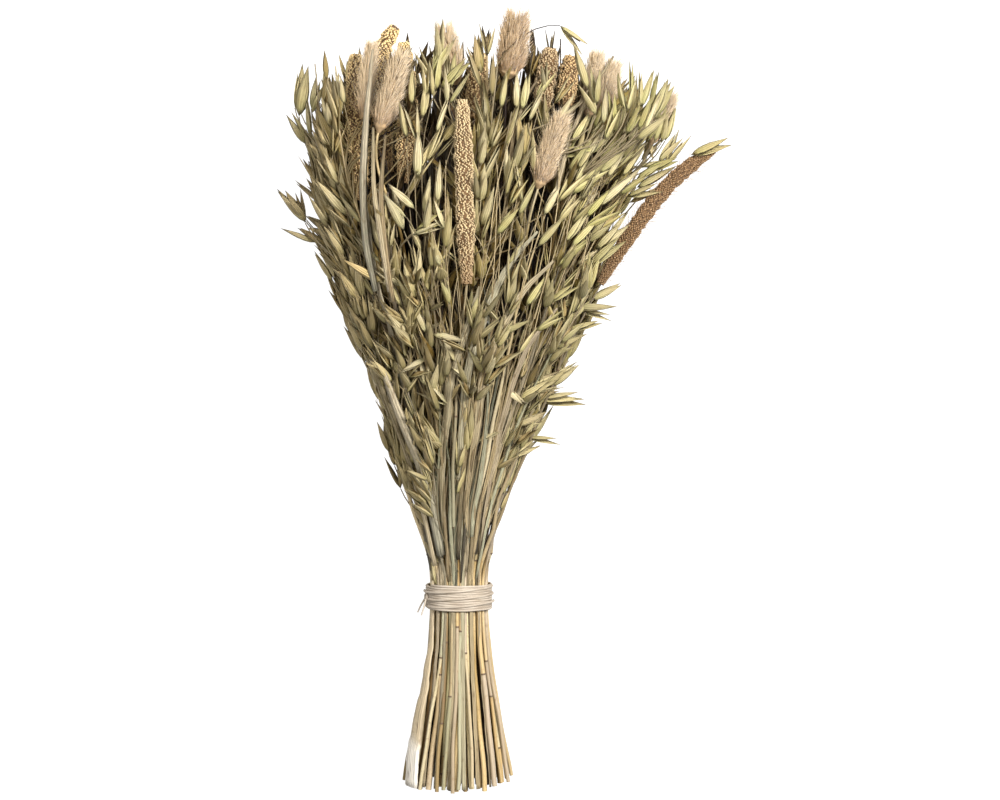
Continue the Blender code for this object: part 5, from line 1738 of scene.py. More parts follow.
def dress_oat(stalk, owner, husks, fans, obstacles):
    """The lines and spots of one oat stalk."""
    random = draws("stalk", owner)
    growth = Growth()
    axis = dress_straw(growth, stalk, random, STRAW_TINTS)
    twig_tint = UPPER_STRAW * random.uniform(0.45, 0.85)

    def add(husk, root, along, tint):
        add_spikelet(growth, husk, root, along, random, tint, twig_tint)

    for husk in map(drawn_in, husks):
        root, along = point_on(axis, min(husk.root[1], axis[-1, 1] - 0.1 * MM))
        add(husk, root, along, spikelet_tint(husk.root, random))
    carriers = [stalk] + side_branches(growth, axis, stalk, random, twig_tint)
    order = [carriers[turn % len(carriers)] for turn in range(EXTRA_BY_RING[stalk.ring])]
    for start, tip, single in fans:
        branch = fan_branch(growth, axis, start, tip, single and single[0].ahead, twig_tint)
        if single:
            husk, tint = single
            tint = tint + random.uniform(0.1, 0.6) * (HUSK_TINTS["pale"] - tint)
            add(husk, husk.root, husk.ahead, tint * random.uniform(0.72, 1.0))
            continue
        order.extend([branch] * FAN_SPIKELETS)
        end = unit(branch.line[-1] - branch.line[-2])
        flat = unit(np.cross(end, (0.2, 0.1, 1)))
        last = Husk(branch.line[-1], end, flat, 0.0, random.uniform(*EXTRA_LENGTHS))
        top = last.root + last.length * last.ahead
        if inside_outline(top) and 4 * MM < top[2] < HIGHEST and not hides_head(last.samples()[0]):
            add(last, last.root, end, spikelet_tint(last.root, random))
    for turn, carrier in enumerate(order):
        own = carrier is stalk
        line = axis if own else carrier.line
        low = max(stalk.foot - 25 * MM, LOWEST_HUSK) if own else line[2, 1]
        y = low + (line[-1, 1] - 2 * MM - low) * ((0.5 + GOLDEN_SHARE * turn) % 1)
        for attempt in range(EXTRA_TRIES):
            wide = stalk.ring == 3 and random.uniform() < 0.3
            lean = math.radians(random.uniform(6, 52 if wide else 30))
            pedicel = MM * random.uniform(3, 26 if own else 12)
            azimuth = turn * GOLDEN_ANGLE + owner + 1.1 * attempt
            husk = husk_on(Twig(line), y, azimuth, lean, pedicel, random.uniform(*EXTRA_LENGTHS))
            points, sizes = husk.samples()
            tip = husk.root + (pedicel + husk.length) * husk.ahead
            fits = (points[:, 2] - sizes).min() >= 0.2 * MM and tip[2] <= HIGHEST
            if not inside_outline(tip) or bare(tip) or not fits:
                continue
            sizes = EXTRA_FULLNESS * sizes
            if obstacles.room_round(points, sizes, owner) < EXTRA_OVERLAP or hides_head(points):
                continue
            obstacles.add_husk(points, sizes)
            root, along = point_on(line, y)
            add(husk, root, along, spikelet_tint(tip, random))
            break
    return growth


def head_profile(kind, share):
    """How thick a head is along its length, as a share of its full radius."""
    if kind == "millet":
        return np.minimum(1, 0.52 + 1.9 * share) * (1 - 0.55 * share**10)
    rounded = np.minimum(1, 0.3 + 8 * share)
    return rounded * np.sin(math.pi * np.minimum(1, 0.2 + 0.77 * share)) ** (0.4 + 0.55 * share)


def bow(stalk):
    """Bows a spike and the straw inside it aside, as the photo shows it."""
    low, high = stalk.head[0, 1], stalk.head[-1, 1]
    stalk.head = sample_line(stalk.head, np.linspace(0, 1, 12) * lengths_along(stalk.head)[-1])
    for line in (stalk.line, stalk.head):
        share = np.clip((line[:, 1] - low) / (high - low), 0, 1)
        line += MM * np.sin(math.pi * share)[:, None] * np.array(SPIKE_BOWS.get(stalk.name, (0, 0, 0)))


def dress_head(stalk, owner, tints, radius):
    """The lines of a stalk with a head: its straw, and its spike with the width at every point."""
    random = draws("stalk", owner)
    growth = Growth()
    bow(stalk)
    dress_straw(growth, stalk, random, STRAW_TINTS)
    lengths = lengths_along(stalk.head)
    at = np.linspace(0, lengths[-1] - (4 * MM if stalk.kind == "tail" else 0), HEAD_ROWS)
    share = (at / lengths[-1])[:, None]
    base, tip = (tint * np.array(HEAD_TONES_AND_PAINTED_LIGHT.get(stalk.name, (1, 1, 1))) for tint in tints)
    tint = base + (tip - base) * np.minimum(1, 3.4 * share)
    points = sample_line(stalk.head, at)
    thick = radius * head_profile(stalk.kind, share[:, 0])
    if stalk.kind == "millet":
        thick = thick * (1 + 0.05 * np.sin(at / MM * 0.9 + owner) + random.uniform(-0.13, 0.09, HEAD_ROWS))
    growth.line(SPIKE, points, np.maximum(thick, 0.3 * MM), tint)
    return growth, lengths[-1]


# Leaves, sheath and fibres


def faded(foot, tip):
    """How a blade's tint runs from its foot to its tip."""
    return lambda share, v: foot + (tip - foot) * share


def blade(name, line, across, out, widths, tints, arch, ripple, random, twist=0.0, columns=BLADE_COLUMNS):
    """A thin dry blade along a line, with its veins' direction kept as attributes."""
    lengths = lengths_along(line)
    rows = max(8, int(lengths[-1] / BLADE_STEP * columns / BLADE_COLUMNS))
    at = np.linspace(0, lengths[-1], rows + 1)
    points = sample_line(line, at)
    wide = np.interp(at, lengths, widths)
    sides, outs = (columns_at(at, lengths, vectors) for vectors in (across, out))
    turning = twist * np.sin(at / lengths[-1] * 2.6 + random.uniform(0, 3))
    turning = turning * np.clip((at - 0.3 * lengths[-1]) / (0.2 * lengths[-1]), 0, 1)
    phase = random.uniform(0, 6.28, 3)
    cage = bmesh.new()
    layers = [cage.verts.layers.float.new(key) for key in ("along", "across")]
    shade = cage.verts.layers.float_vector.new("tint")
    bmesh.ops.create_grid(cage, x_segments=columns, y_segments=rows, size=1)
    for vertex in cage.verts:
        row = round((vertex.co.y + 1) / 2 * rows)
        v = vertex.co.x
        run = at[row] / MM
        side = unit(sides[row])
        up = unit(outs[row] - side * float(np.dot(side, outs[row])))
        cosine, sine = math.cos(turning[row]), math.sin(turning[row])
        side, up = cosine * side + sine * up, cosine * up - sine * side
        wave = ripple * (math.sin(run * 0.21 + phase[0]) + 0.6 * v * math.sin(run * 0.5 + phase[1]))
        lift = arch * wide[row] * (1 - v * v) + wave + 0.02 * wide[row] * math.cos(v * math.pi * 5)
        frayed = 1 + 0.05 * math.sin(run * 0.9 + 3 * v + phase[2])
        vertex.co = Vector(points[row] + 0.5 * v * wide[row] * frayed * side + lift * up)
        vertex[layers[0]] = at[row]
        vertex[layers[1]] = v
        vertex[shade] = Vector(tints(at[row] / lengths[-1], v))
    return cage_mesh(cage, name)


def place_blades(mesh, finish, thickness, node):
    """Gives open blades their thickness and hands them to the frame as one plain piece."""
    obj = linked(mesh, finish)
    wall = obj.modifiers.new("thickness", "SOLIDIFY")
    wall.thickness = thickness
    wall.offset = 0
    made_plain(obj)
    obj.data.shade_smooth()
    place_piece(obj, node)


def linked(mesh, finish):
    """An object with a mesh and its finish, under the mesh's name."""
    obj = bpy.data.objects.new(mesh.name, mesh)
    bpy.context.scene.collection.objects.link(obj)
    mesh.materials.clear()
    mesh.materials.append(finish)
    return obj


# Finishes


class Coat:
    """A finish in the making: its nodes, and the colour that is laid on so far."""

    def __init__(self, name, colour=None):
        self.finish = bpy.data.materials.new(name)
        self.finish.use_nodes = True
        self.tree = self.finish.node_tree
        self.colour = self.read("tint", "Vector") if colour is None else (*colour, 1)

    def read(self, name, socket="Fac"):
        """What the piece's attribute of that name says."""
        return wire(self.tree, "ShaderNodeAttribute", attribute_name=name).outputs[socket]

    def maths(self, operation, *values):
        return maths(self.tree, operation, *values)

    def ramp(self, value, low, high, to_low=0.0, to_high=1.0):
        """A value brought from one range to another and kept inside it."""
        ends = {"Value": value, "From Min": low, "From Max": high, "To Min": to_low, "To Max": to_high}
        return wire(self.tree, "ShaderNodeMapRange", ends).outputs[0]

    def mixed(self, share, first, second, blend="MIX"):
        """Two colours mixed, or the first one changed by the second."""
        colours = {0: share, 6: first, 7: second}
        return wire(self.tree, "ShaderNodeMix", colours, data_type="RGBA", blend_type=blend).outputs[2]

    def darker(self, level):
        """The colour so far, darkened."""
        return self.mixed(1.0, self.colour, (level, level, level, 1), "MULTIPLY")

    def lay(self, value, reach, colour):
        """Lays a colour over the one so far, as far as a value says."""
        if not isinstance(colour, bpy.types.NodeSocket):
            colour = (*colour, 1)
        self.colour = self.mixed(self.ramp(value, *reach), self.colour, colour)

    def noise(self, vector, scale, detail, roughness=0.55):
        """Noise at a vector."""
        ways = {"Vector": vector, "Scale": scale, "Detail": detail, "Roughness": roughness}
        return wire(self.tree, "ShaderNodeTexNoise", ways).outputs["Fac"]

    def spots(self, scale, detail, stretch=(1.0, 1.0, 1.0)):
        """Noise that stays with the piece."""
        place = wire(self.tree, "ShaderNodeTexCoord").outputs["Object"]
        place = wire(self.tree, "ShaderNodeMapping", {"Vector": place, "Scale": stretch}).outputs[0]
        return self.noise(place, scale, detail)

    def done(self, roughness, relief=None, others=None):
        """The finish, with its colour, roughness, relief and other values on its shader."""
        values = {"Base Color": self.colour, "Roughness": roughness, **(others or {})}
        if relief:
            bump = wire(self.tree, "ShaderNodeBump", dict(zip(("Height", "Strength", "Distance"), relief)))
            values["Normal"] = bump.outputs[0]
        fill(self.tree, self.tree.nodes["Principled BSDF"], values)
        return self.finish


def straw_finish(facts):
    """Dry straw: long streaks, brown specks and dark knuckles over each stalk's own tint."""
    coat = Coat("straw")
    around = coat.maths("MULTIPLY", coat.read("round"), 2 * math.pi)
    sine, cosine = (coat.maths("MULTIPLY", coat.maths(side, around), 2.6) for side in ("SINE", "COSINE"))
    along = coat.maths("MULTIPLY", coat.read("along"), 22.0)
    grain = combined(coat.tree, X=sine, Y=cosine, Z=along)
    streaks = coat.noise(added(coat.tree, grain, scaled(coat.tree, coat.colour, 90.0)), 1.3, 4.0, 0.6)
    coat.lay(streaks, (0.3, 0.72), coat.darker(facts.straw_shade))
    coat.lay(coat.spots(260.0, 2.0), (0.62, 0.72, 0.0, 0.45), facts.speck_colour)
    coat.lay(coat.read("knot"), (0.25, 0.7), facts.knuckle_colour)
    return coat.done(coat.ramp(streaks, 0.3, 0.8, 0.42, 0.7), (streaks, 0.5, 0.0004))


def spikelet_finish(facts):
    """Papery scales: fine lengthways veins, pale margins and brown tips."""
    coat = Coat("spikelet")
    across, along = coat.read("across"), coat.read("along")
    veins = coat.maths("SINE", coat.maths("MULTIPLY", across, 15.0))
    coat.lay(veins, (0.0, 0.9, 0.0, 0.42), coat.darker(0.48))
    greener = coat.mixed(1.0, coat.colour, (0.78, 0.86, 0.62, 1), "MULTIPLY")
    coat.lay(along, (0.55, 0.1, 0.0, 0.6), greener)
    coat.lay(coat.maths("ABSOLUTE", across), (0.72, 1.0, 0.0, 0.4), facts.margin_colour)
    patches = coat.spots(140.0, 3.0)
    coat.lay(patches, (0.4, 0.75, 0.0, 0.45), facts.patch_colour)
    coat.lay(along, (0.8, 1.0, 0.0, 0.6), facts.tip_colour)
    coat.lay(along, (0.16, 0.0, 0.0, 0.35), facts.margin_colour)
    inner = coat.mixed(coat.ramp(along, 0.3, 1.0), (*facts.floret_colour, 1), (*facts.tip_colour, 1))
    coat.colour = coat.mixed(coat.read("inner"), coat.colour, inner)
    roughness = coat.ramp(patches, 0.3, 0.8, 0.6, 0.8)
    return coat.done(roughness, (veins, 0.6, 0.0003), {"Specular IOR Level": 0.2})


def grain_finish(facts):
    """Millet grains, each a little lighter or darker, with a dull skin and painted shade towards each
    grain's base.
    """
    coat = Coat("millet_grain")
    mottle = coat.spots(900.0, 2.0)
    coat.lay(mottle, (0.35, 0.7, 0.0, 0.4), facts.husk_colour)
    # Painted shade: each grain darker towards its base, where the grains crowd together.
    coat.lay(coat.read("along"), (0.9, 0.5, 0.0, 0.62), facts.core_and_shade_colour)
    coat.lay(coat.spots(430.0, 2.0), (0.48, 0.66, 0.0, 0.25), coat.darker(0.4))
    return coat.done(coat.ramp(mottle, 0.3, 0.8, 0.45, 0.7), (mottle, 0.4, 0.0003))


def core_finish(name, colour, darker):
    """The stem inside a head, seen dark between what grows on it."""
    coat = Coat(name, colour)
    rough = coat.spots(420.0, 3.0)
    coat.lay(rough, (0.35, 0.7), darker)
    return coat.done(0.85, (rough, 0.8, 0.0008))


def hair_finish(name, root_share, tip_colour, sheen):
    """Fine hairs, darker at the root and pale at the tip."""
    coat = Coat(name)
    along = coat.read("along")
    coat.colour = coat.mixed(coat.ramp(along, 0.0, 0.5), coat.darker(root_share), coat.colour)
    coat.lay(along, (0.5, 1.0, 0.0, 0.5), tip_colour)
    coat.lay(coat.spots(240.0, 2.0), (0.35, 0.75, 0.0, 0.25), coat.darker(0.6))
    return coat.done(coat.ramp(along, 0.0, 1.0, 0.85, 0.6), None, {"Sheen Weight": sheen})


def blade_finish(name, facts, veins, vein_share, depth):
    """A dry leaf: parallel veins, long bleached streaks and brown flecks."""
    coat = Coat(name)
    across, along = coat.read("across"), coat.read("along")
    grain = combined(coat.tree, X=coat.maths("MULTIPLY", across, 5.0), Y=coat.maths("MULTIPLY", along, 30.0))
    streaks = coat.noise(added(coat.tree, grain, scaled(coat.tree, coat.colour, 60.0)), 1.0, 4.0, 0.6)
    shifted = coat.maths("ADD", coat.maths("MULTIPLY", across, veins), coat.maths("MULTIPLY", streaks, 7.0))
    lines = coat.maths("SINE", shifted)
    darker = coat.darker(facts.vein_shade)
    coat.lay(streaks, (0.5, 0.78, 0.0, 0.5), facts.bleached_colour)
    coat.lay(streaks, (0.5, 0.25, 0.0, 0.75), darker)
    coat.lay(lines, (0.25, 0.95, 0.0, vein_share), darker)
    coat.lay(coat.spots(330.0, 2.0, (1.0, 0.3, 1.0)), (0.62, 0.74, 0.0, 0.5), facts.fleck_colour)
    return coat.done(coat.ramp(streaks, 0.3, 0.8, 0.5, 0.75), (lines, depth, 0.0004))


def leaf_finish(facts):
    """The leaves' finish, made the first time it is asked for."""
    return finish_once("veined_leaf", lambda: blade_finish("veined_leaf", facts, 11.0, 0.6, 0.8))


def twine_finish(facts):
    """Paper twine: a twisted strip with fine creases, painted darker in their low places as shade, and with
    stains.
    """
    coat = Coat("creased_paper", facts.crease_shade_and_stain_colour)
    turned = coat.maths("MULTIPLY", coat.read("round"), 2 * math.pi)
    along = coat.read("along")
    twisted = coat.maths("MULTIPLY_ADD", turned, 2.0, coat.maths("MULTIPLY", along, 420.0))
    strip = combined(
        coat.tree, X=coat.maths("MULTIPLY", coat.maths("SINE", turned), 3.0),
        Y=coat.maths("MULTIPLY", along, 45.0),
    )
    creases = coat.maths("MULTIPLY", coat.maths("SINE", twisted), 0.05)
    height = coat.maths("ADD", creases, coat.noise(strip, 1.6, 3.0))
    # Painted shade: the paper darker in the low places of the creases.
    coat.lay(height, (0.3, 0.62), facts.colour)
    coat.lay(coat.spots(120.0, 2.0), (0.45, 0.8, 0.0, 0.4), facts.crease_shade_and_stain_colour)
    return coat.done(0.8, (height, 0.35, 0.0002))


def floor_finish(colour, glow):
    """A white floor that gives off a little light, so that it stays white in the shadows."""
    coat = Coat("studio_floor", colour)
    coat.lay(coat.spots(3.0, 2.0), (0.3, 0.7), [0.985 * c for c in colour])
    light = {"Emission Color": (1, 1, 1, 1), "Emission Strength": glow}
    return coat.done(0.95, None, {"Specular IOR Level": 0.0, **light})


def finish_once(name, make):
    """The finish of that name, made the first time it is asked for."""
    return bpy.data.materials.get(name) or make()


# Sizes and colours that a user may change


def colour_property(name, description, *values):
    """A colour that a user may change, given in display values."""
    default = tuple(float(c) for c in srgb(*values))
    way = {"subtype": "COLOR", "size": 3, "min": 0, "max": 1, "default": default}
    return FloatVectorProperty(name=name, description=description, **way)


def size_property(name, description, default):
    """A size that a user may change."""
    return FloatProperty(name=name, description=description, default=default, min=0, unit="LENGTH")


def share_property(name, description, default):
    """A share from 0 to 1 that a user may change."""
    return FloatProperty(name=name, description=description, default=default, min=0, max=1)


def power_property(name, description, default):
    """A light's power that a user may change."""
    return FloatProperty(name=name, description=description, default=default, min=0, unit="POWER")


class StrawFacts(bpy.types.PropertyGroup):
    """The straws of all stalks."""

    sides: IntProperty(name="Straw sides", description="Faces round a straw", default=8, min=4, max=24)
    twig_sides: IntProperty(name="Twig sides", description="Faces round a twig", default=4, min=3, max=12)
    straw_shade: share_property("Streak shade", "How dark the streaks of the straw are", 0.62)
    speck_colour: colour_property("Specks", "Brown specks on the straw", 128, 96, 60)
    knuckle_colour: colour_property("Knuckles", "Dark rings where a leaf grew", 84, 62, 42)


class SpikeletFacts(bpy.types.PropertyGroup):
    """The papery spikelets of the oats."""

    margin_colour: colour_property("Margins", "Papery edges of the scales", 198, 185, 148)
    patch_colour: colour_property("Patches", "Duller patches on the scales", 150, 129, 84)
    tip_colour: colour_property("Tips", "Withered tips", 92, 74, 48)
    floret_colour: colour_property("Florets", "Grains inside the scales", 190, 166, 112)


class MilletFacts(bpy.types.PropertyGroup):
    """The millet spikes."""

    radius: size_property("Spike radius", "How thick a spike is", 6.4 * MM)
    pale_colour: colour_property("Pale grain", "Grains of the pale spikes", 208, 188, 148)
    rust_colour: colour_property("Rusty grain", "Grains of the spike that leans out", 144, 110, 74)
    husk_colour: colour_property("Grain husk", "Husks left on the grains", 182, 154, 110)
    # The core's colour, also laid on each grain's base as painted shade.
    core_and_shade_colour: colour_property("Spike core", "Stem seen between the grains", 108, 80, 48)


class TailFacts(bpy.types.PropertyGroup):
    """The hare's tails."""

    radius: size_property("Tail radius", "How thick a tail is", 9 * MM)
    hairs: IntProperty(name="Hairs", description="Hairs on each tail", default=1350, min=100)
    root_colour: colour_property("Lower hair", "Hair near the foot of a tail", 190, 156, 114)
    tip_colour: colour_property("Upper hair", "Hair near the tip of a tail", 206, 181, 142)
    pale_colour: colour_property("Hair tips", "Ends of the hairs", 226, 204, 170)


class LeafFacts(bpy.types.PropertyGroup):
    """The long leaves and the pale sheath."""

    thickness: size_property("Thickness", "How thick a dry leaf is", 0.35 * MM)
    vein_shade: share_property("Vein shade", "How dark the veins are", 0.3)
    bleached_colour: colour_property("Bleached streaks", "Streaks bleached by light", 202, 190, 158)
    fleck_colour: colour_property("Flecks", "Brown flecks", 108, 84, 58)


class TwineFacts(bpy.types.PropertyGroup):
    """The winding of paper twine."""

    turns: FloatProperty(name="Turns", description="Turns side by side", default=10.4, min=1)
    strand: size_property("Strand", "Half the thickness of the twine", 0.86 * MM)
    colour: colour_property("Twine", "Raised paper", 184, 172, 156)
    # The paper in the creases, darker as painted shade; also the colour of the stains.
    crease_shade_and_stain_colour: colour_property("Creases", "Paper in the creases", 146, 131, 112)


class StageFacts(bpy.types.PropertyGroup):
    """Floor, lights and camera."""

    floor_colour: colour_property("Floor", "Plain pale floor", 128, 128, 128)
    key_power: power_property("Main light", "Power of the main light", 39)
    fill_power: power_property("Second light", "Power of the second light", 10.5)
    floor_glow: FloatProperty(
        name="Floor glow", description="Light that the floor gives off", default=0.97, min=0
    )
    sky: FloatProperty(name="Surroundings", description="Light from all round", default=0.048, min=0)


GROUPS = {
    "straw": StrawFacts, "spikelet": SpikeletFacts, "millet": MilletFacts, "tail": TailFacts,
    "leaf": LeafFacts, "twine": TwineFacts, "stage": StageFacts,
}


# The bunch's plan, worked out once for all operators

PLAN = {}


def plan():
    """The stalks, the husks of the solids, and what further spikelets must stay clear of."""
    if not PLAN:
        stalks = lay_out()
        PLAN["stalks"] = stalks
        PLAN["husks"], PLAN["obstacles"] = grow_husks(stalks)
        PLAN["fans"] = share_out_fans(stalks)
        singles = [single for fans in PLAN["fans"].values() for _, _, single in fans if single]
        for husk, _ in singles:
            points, sizes = husk.samples()
            PLAN["obstacles"].add_husk(points, EXTRA_FULLNESS * sizes)
    return PLAN


def stalks_of(kind):
    """The stalks of one kind, each with its number among all."""
    return [(owner, stalk) for owner, stalk in enumerate(plan()["stalks"]) if stalk.kind == kind]


def tree_once(name, make):
    """The tree of that name, made the first time it is asked for."""
    return bpy.data.node_groups.get(name) or make()


def grow_piece(context, name, growth, tree, inputs):
    """A piece grown from its lines and spots by a tree, in the finishes that all share."""
    facts = context.scene.dried_bunch
    shared = {
        "Straw sides": facts.straw.sides,
        "Spikelets": bpy.data.collections.get("spikelets") or spikelet_shapes(),
        "Straw finish": finish_once("straw", lambda: straw_finish(facts.straw)),
        "Spikelet finish": finish_once("spikelet", lambda: spikelet_finish(facts.spikelet)),
    }
    return grow(name, growth.mesh(name), tree, {**shared, **inputs})


def place_straws(context, name, growth, twig_sides, node):
    """Grows straws, twigs and spikelets and hands them to the frame as one piece."""
    tree = tree_once("oat_stalk", stalk_tree)
    place_piece(grow_piece(context, name, growth, tree, {"Twig sides": twig_sides}), node)


def place_head(context, growth, stalk, inputs):
    """Grows a straw with its head and hands it to the frame as one piece."""
    tree = tree_once("spike_on_straw", spike_tree)
    place_piece(grow_piece(context, stalk.name + "_stalk", growth, tree, inputs), stalk.name)


# Operators


class BUNCH_OT_oat_stalks(bpy.types.Operator):
    """Build the oat stalks with their papery spikelets"""

    bl_idname = "bunch.oat_stalks"
    bl_label = "Oat stalks"

    def execute(self, context):
        sides = context.scene.dried_bunch.straw.twig_sides
        husks, fans, obstacles = (plan()[key] for key in ("husks", "fans", "obstacles"))
        for owner, stalk in stalks_of("oat"):
            growth = dress_oat(stalk, owner, husks[stalk.name], fans[stalk.name], obstacles)
            place_straws(context, stalk.name + "_stalk", growth, sides, stalk.name)
        return {"FINISHED"}


class BUNCH_OT_millet_stalks(bpy.types.Operator):
    """Build the millet stalks with their spikes of grain"""

    bl_idname = "bunch.millet_stalks"
    bl_label = "Millet stalks"

    def execute(self, context):
        facts = context.scene.dried_bunch.millet
        inputs = {
            "Core share": 0.9, "Core sides": CORE_SIDES, "Seat": 0.9, "Lean": math.radians(76),
            "Bristle lean": math.radians(52), "Shape": grain_shape(),
            "Bristle": hair_shape("bristle", 7.5 * MM, 0.11 * MM, 0.12),
            "Core finish": core_finish("millet_core", facts.core_and_shade_colour, MILLET_CORE_DARK),
            "Shape finish": grain_finish(facts),
            "Bristle finish": hair_finish("millet_bristle", 0.7, BRISTLE_TIP, 0.1),
        }
        pale, rust = np.array(facts.pale_colour), np.array(facts.rust_colour)
        for owner, stalk in stalks_of("millet"):
            tip = pale + MILLET_RUST_AND_PAINTED_LIGHT.get(stalk.name, 0.35) * (rust - pale)
            base = tip + 0.8 * (rust * 0.75 - tip)
            girth = MILLET_GIRTH.get(stalk.name, 1)
            growth, length = dress_head(stalk, owner, (base, tip), facts.radius * girth)
            length *= 0.6 if stalk.name in HIDDEN_MILLETS else girth
            if stalk.name == "millet_right":
                add_end_spikelet(growth, stalk, owner)
            inputs["Count"] = int(length * GRAINS_PER_METRE)
            inputs["Bristle count"] = int(length * MILLET_BRISTLES.get(stalk.name, 1200))
            inputs["Seed"] = owner * 10
            place_head(context, growth, stalk, inputs)
        return {"FINISHED"}


def add_end_spikelet(growth, stalk, owner):
    """The stray spikelet that lies at the tip of the spike that leans out."""
    along = unit(stalk.head[-1] - stalk.head[-2])
    side = unit(np.cross(along, (0, 0, 1.0)))
    ahead = unit(along + 0.3 * side + 0.05 * np.array((0, 0, 1)))
    root = stalk.head[-1] - 16 * MM * along - 5 * MM * side + np.array((0, 0, 5 * MM))
    husk = Husk(root, ahead, unit(np.cross(ahead, (0.1, 0.2, 1.0))), 0.0, 27 * MM)
    add_spikelet(growth, husk, root, along, draws("end", owner), HUSK_TINTS["olive"] * 0.9, UPPER_STRAW)


class BUNCH_OT_hares_tails(bpy.types.Operator):
    """Build the hare's-tail stalks with their soft heads"""

    bl_idname = "bunch.hares_tails"
    bl_label = "Hare's tails"

    def execute(self, context):
        facts = context.scene.dried_bunch.tail
        hairs = hair_finish("tail_hair", 0.5, facts.pale_colour, 0.3)
        inputs = {
            "Core share": 0.56, "Core sides": CORE_SIDES, "Seat": 0.5, "Bristle count": facts.hairs // 5,
            "Bristle lean": math.radians(31), "Shape": hair_shape("tail_hair", 10 * MM, 0.24 * MM, 0.08),
            "Bristle": hair_shape("tail_beard", 13 * MM, 0.11 * MM, -0.05),
            "Core finish": core_finish("tail_core", *TAIL_CORE), "Shape finish": hairs,
            "Bristle finish": hairs,
        }
        tints = np.array(facts.root_colour), np.array(facts.tip_colour)
        for owner, stalk in stalks_of("tail"):
            fluff = TAIL_FLUFF.get(stalk.name, 1)
            growth, _ = dress_head(stalk, owner, tints, facts.radius * fluff)
            inputs["Count"] = int(facts.hairs * (0.6 if stalk.name in HIDDEN_TAILS else 1))
            inputs["Lean"] = math.radians(21 * fluff**0.7)
            inputs["Seed"] = owner * 10
            place_head(context, growth, stalk, inputs)
        return {"FINISHED"}


class BUNCH_OT_strap_leaves(bpy.types.Operator):
    """Build the long dry leaves with their parallel veins"""

    bl_idname = "bunch.strap_leaves"
    bl_label = "Strap leaves"

    def execute(self, context):
        facts = context.scene.dried_bunch.leaf
        for owner, stalk in stalks_of("leaf"):
            arch, ripple = (0.02, 0.05 * MM) if stalk.name in FLOOR_LEAVES else (0.13, 0.25 * MM)
            widths = stalk.widths * np.interp(stalk.line[:, 1], LEAF_WAIST[0], LEAF_WAIST[1])
            widths = widths * NARROWED_LEAVES.get(stalk.name, 1)
            shape = (stalk.line, *leaf_sides(stalk), widths)
            tints = faded(*LEAF_TINTS[stalk.name])
            mesh = blade(stalk.name + "_blade", *shape, tints, arch, ripple, draws("leaf", owner))
            place_blades(mesh, leaf_finish(facts), facts.thickness, stalk.name)
        return {"FINISHED"}


class BUNCH_OT_pale_sheath(bpy.types.Operator):
    """Build the torn pale sheath at the cut ends"""

    bl_idname = "bunch.pale_sheath"
    bl_label = "Pale sheath"

    def execute(self, context):
        facts = context.scene.dried_bunch.leaf
        finish = finish_once("torn_sheath", lambda: blade_finish("torn_sheath", facts, 34.0, 0.35, 0.4))
        _, stalk = stalks_of("sheath")[0]
        line = sample_line(stalk.line, np.linspace(0, lengths_along(stalk.line)[-1], 12))
        y = line[:, 1]
        vectors = [columns_at(y, stalk.line[:, 1], rows) for rows in leaf_sides(stalk)]
        widths = MM * np.interp(y / MM, (-124, -100, -84, -60, -11, 11), (16, 16.5, 13, 9.5, 3.6, 3.3))
        line[:, 0] -= MM * np.interp(y / MM, (-124, -90, -15), (-1.5, 0.8, 0))

        def tints(share, v):
            browned = min(1, max(0, (share - 0.2 - 0.03 * v) / 0.06))
            return SHEATH_WHITE + (SHEATH_BEIGE - SHEATH_WHITE) * browned

        mesh = blade("pale_sheath_blade", line, *vectors, widths, tints, 0.22, 0.35 * MM, draws("sheath"))
        place_blades(mesh, finish, facts.thickness, stalk.name)
        return {"FINISHED"}


class BUNCH_OT_twine(bpy.types.Operator):
    """Wind the paper twine round the bunch and knot it"""

    bl_idname = "bunch.twine"
    bl_label = "Paper twine"

    def execute(self, context):
        facts = context.scene.dried_bunch.twine
        finish = finish_once("creased_paper", lambda: twine_finish(facts))
        tree = twine_tree()
        parts = []
        for number, (turns, width, lift, tilt, uneven) in enumerate(WINDINGS):
            inputs = {
                "Turns": facts.turns * turns, "Width": BINDING_WIDTH * width - 2 * facts.strand,
                "Radius": BINDING_RADIUS + BINDING_THICKNESS / 2 + lift * MM, "Strand": facts.strand,
                "Unevenness": uneven * MM, "Tilt": math.radians(tilt), "Height": TIE_HEIGHT,
                "Seed": float(number), "Finish": finish,
            }
            parts.append(grow(f"winding_{number}", bpy.data.meshes.new("start"), tree, inputs))
        parts.append(knot_and_ends(context, finish, facts.strand))
        mesh = merged("twine_binding", [part.data for part in parts])
        for part in parts:
            bpy.data.objects.remove(part)
        mesh.shade_smooth()
        place_piece(linked(mesh, finish), "binding")
        return {"FINISHED"}


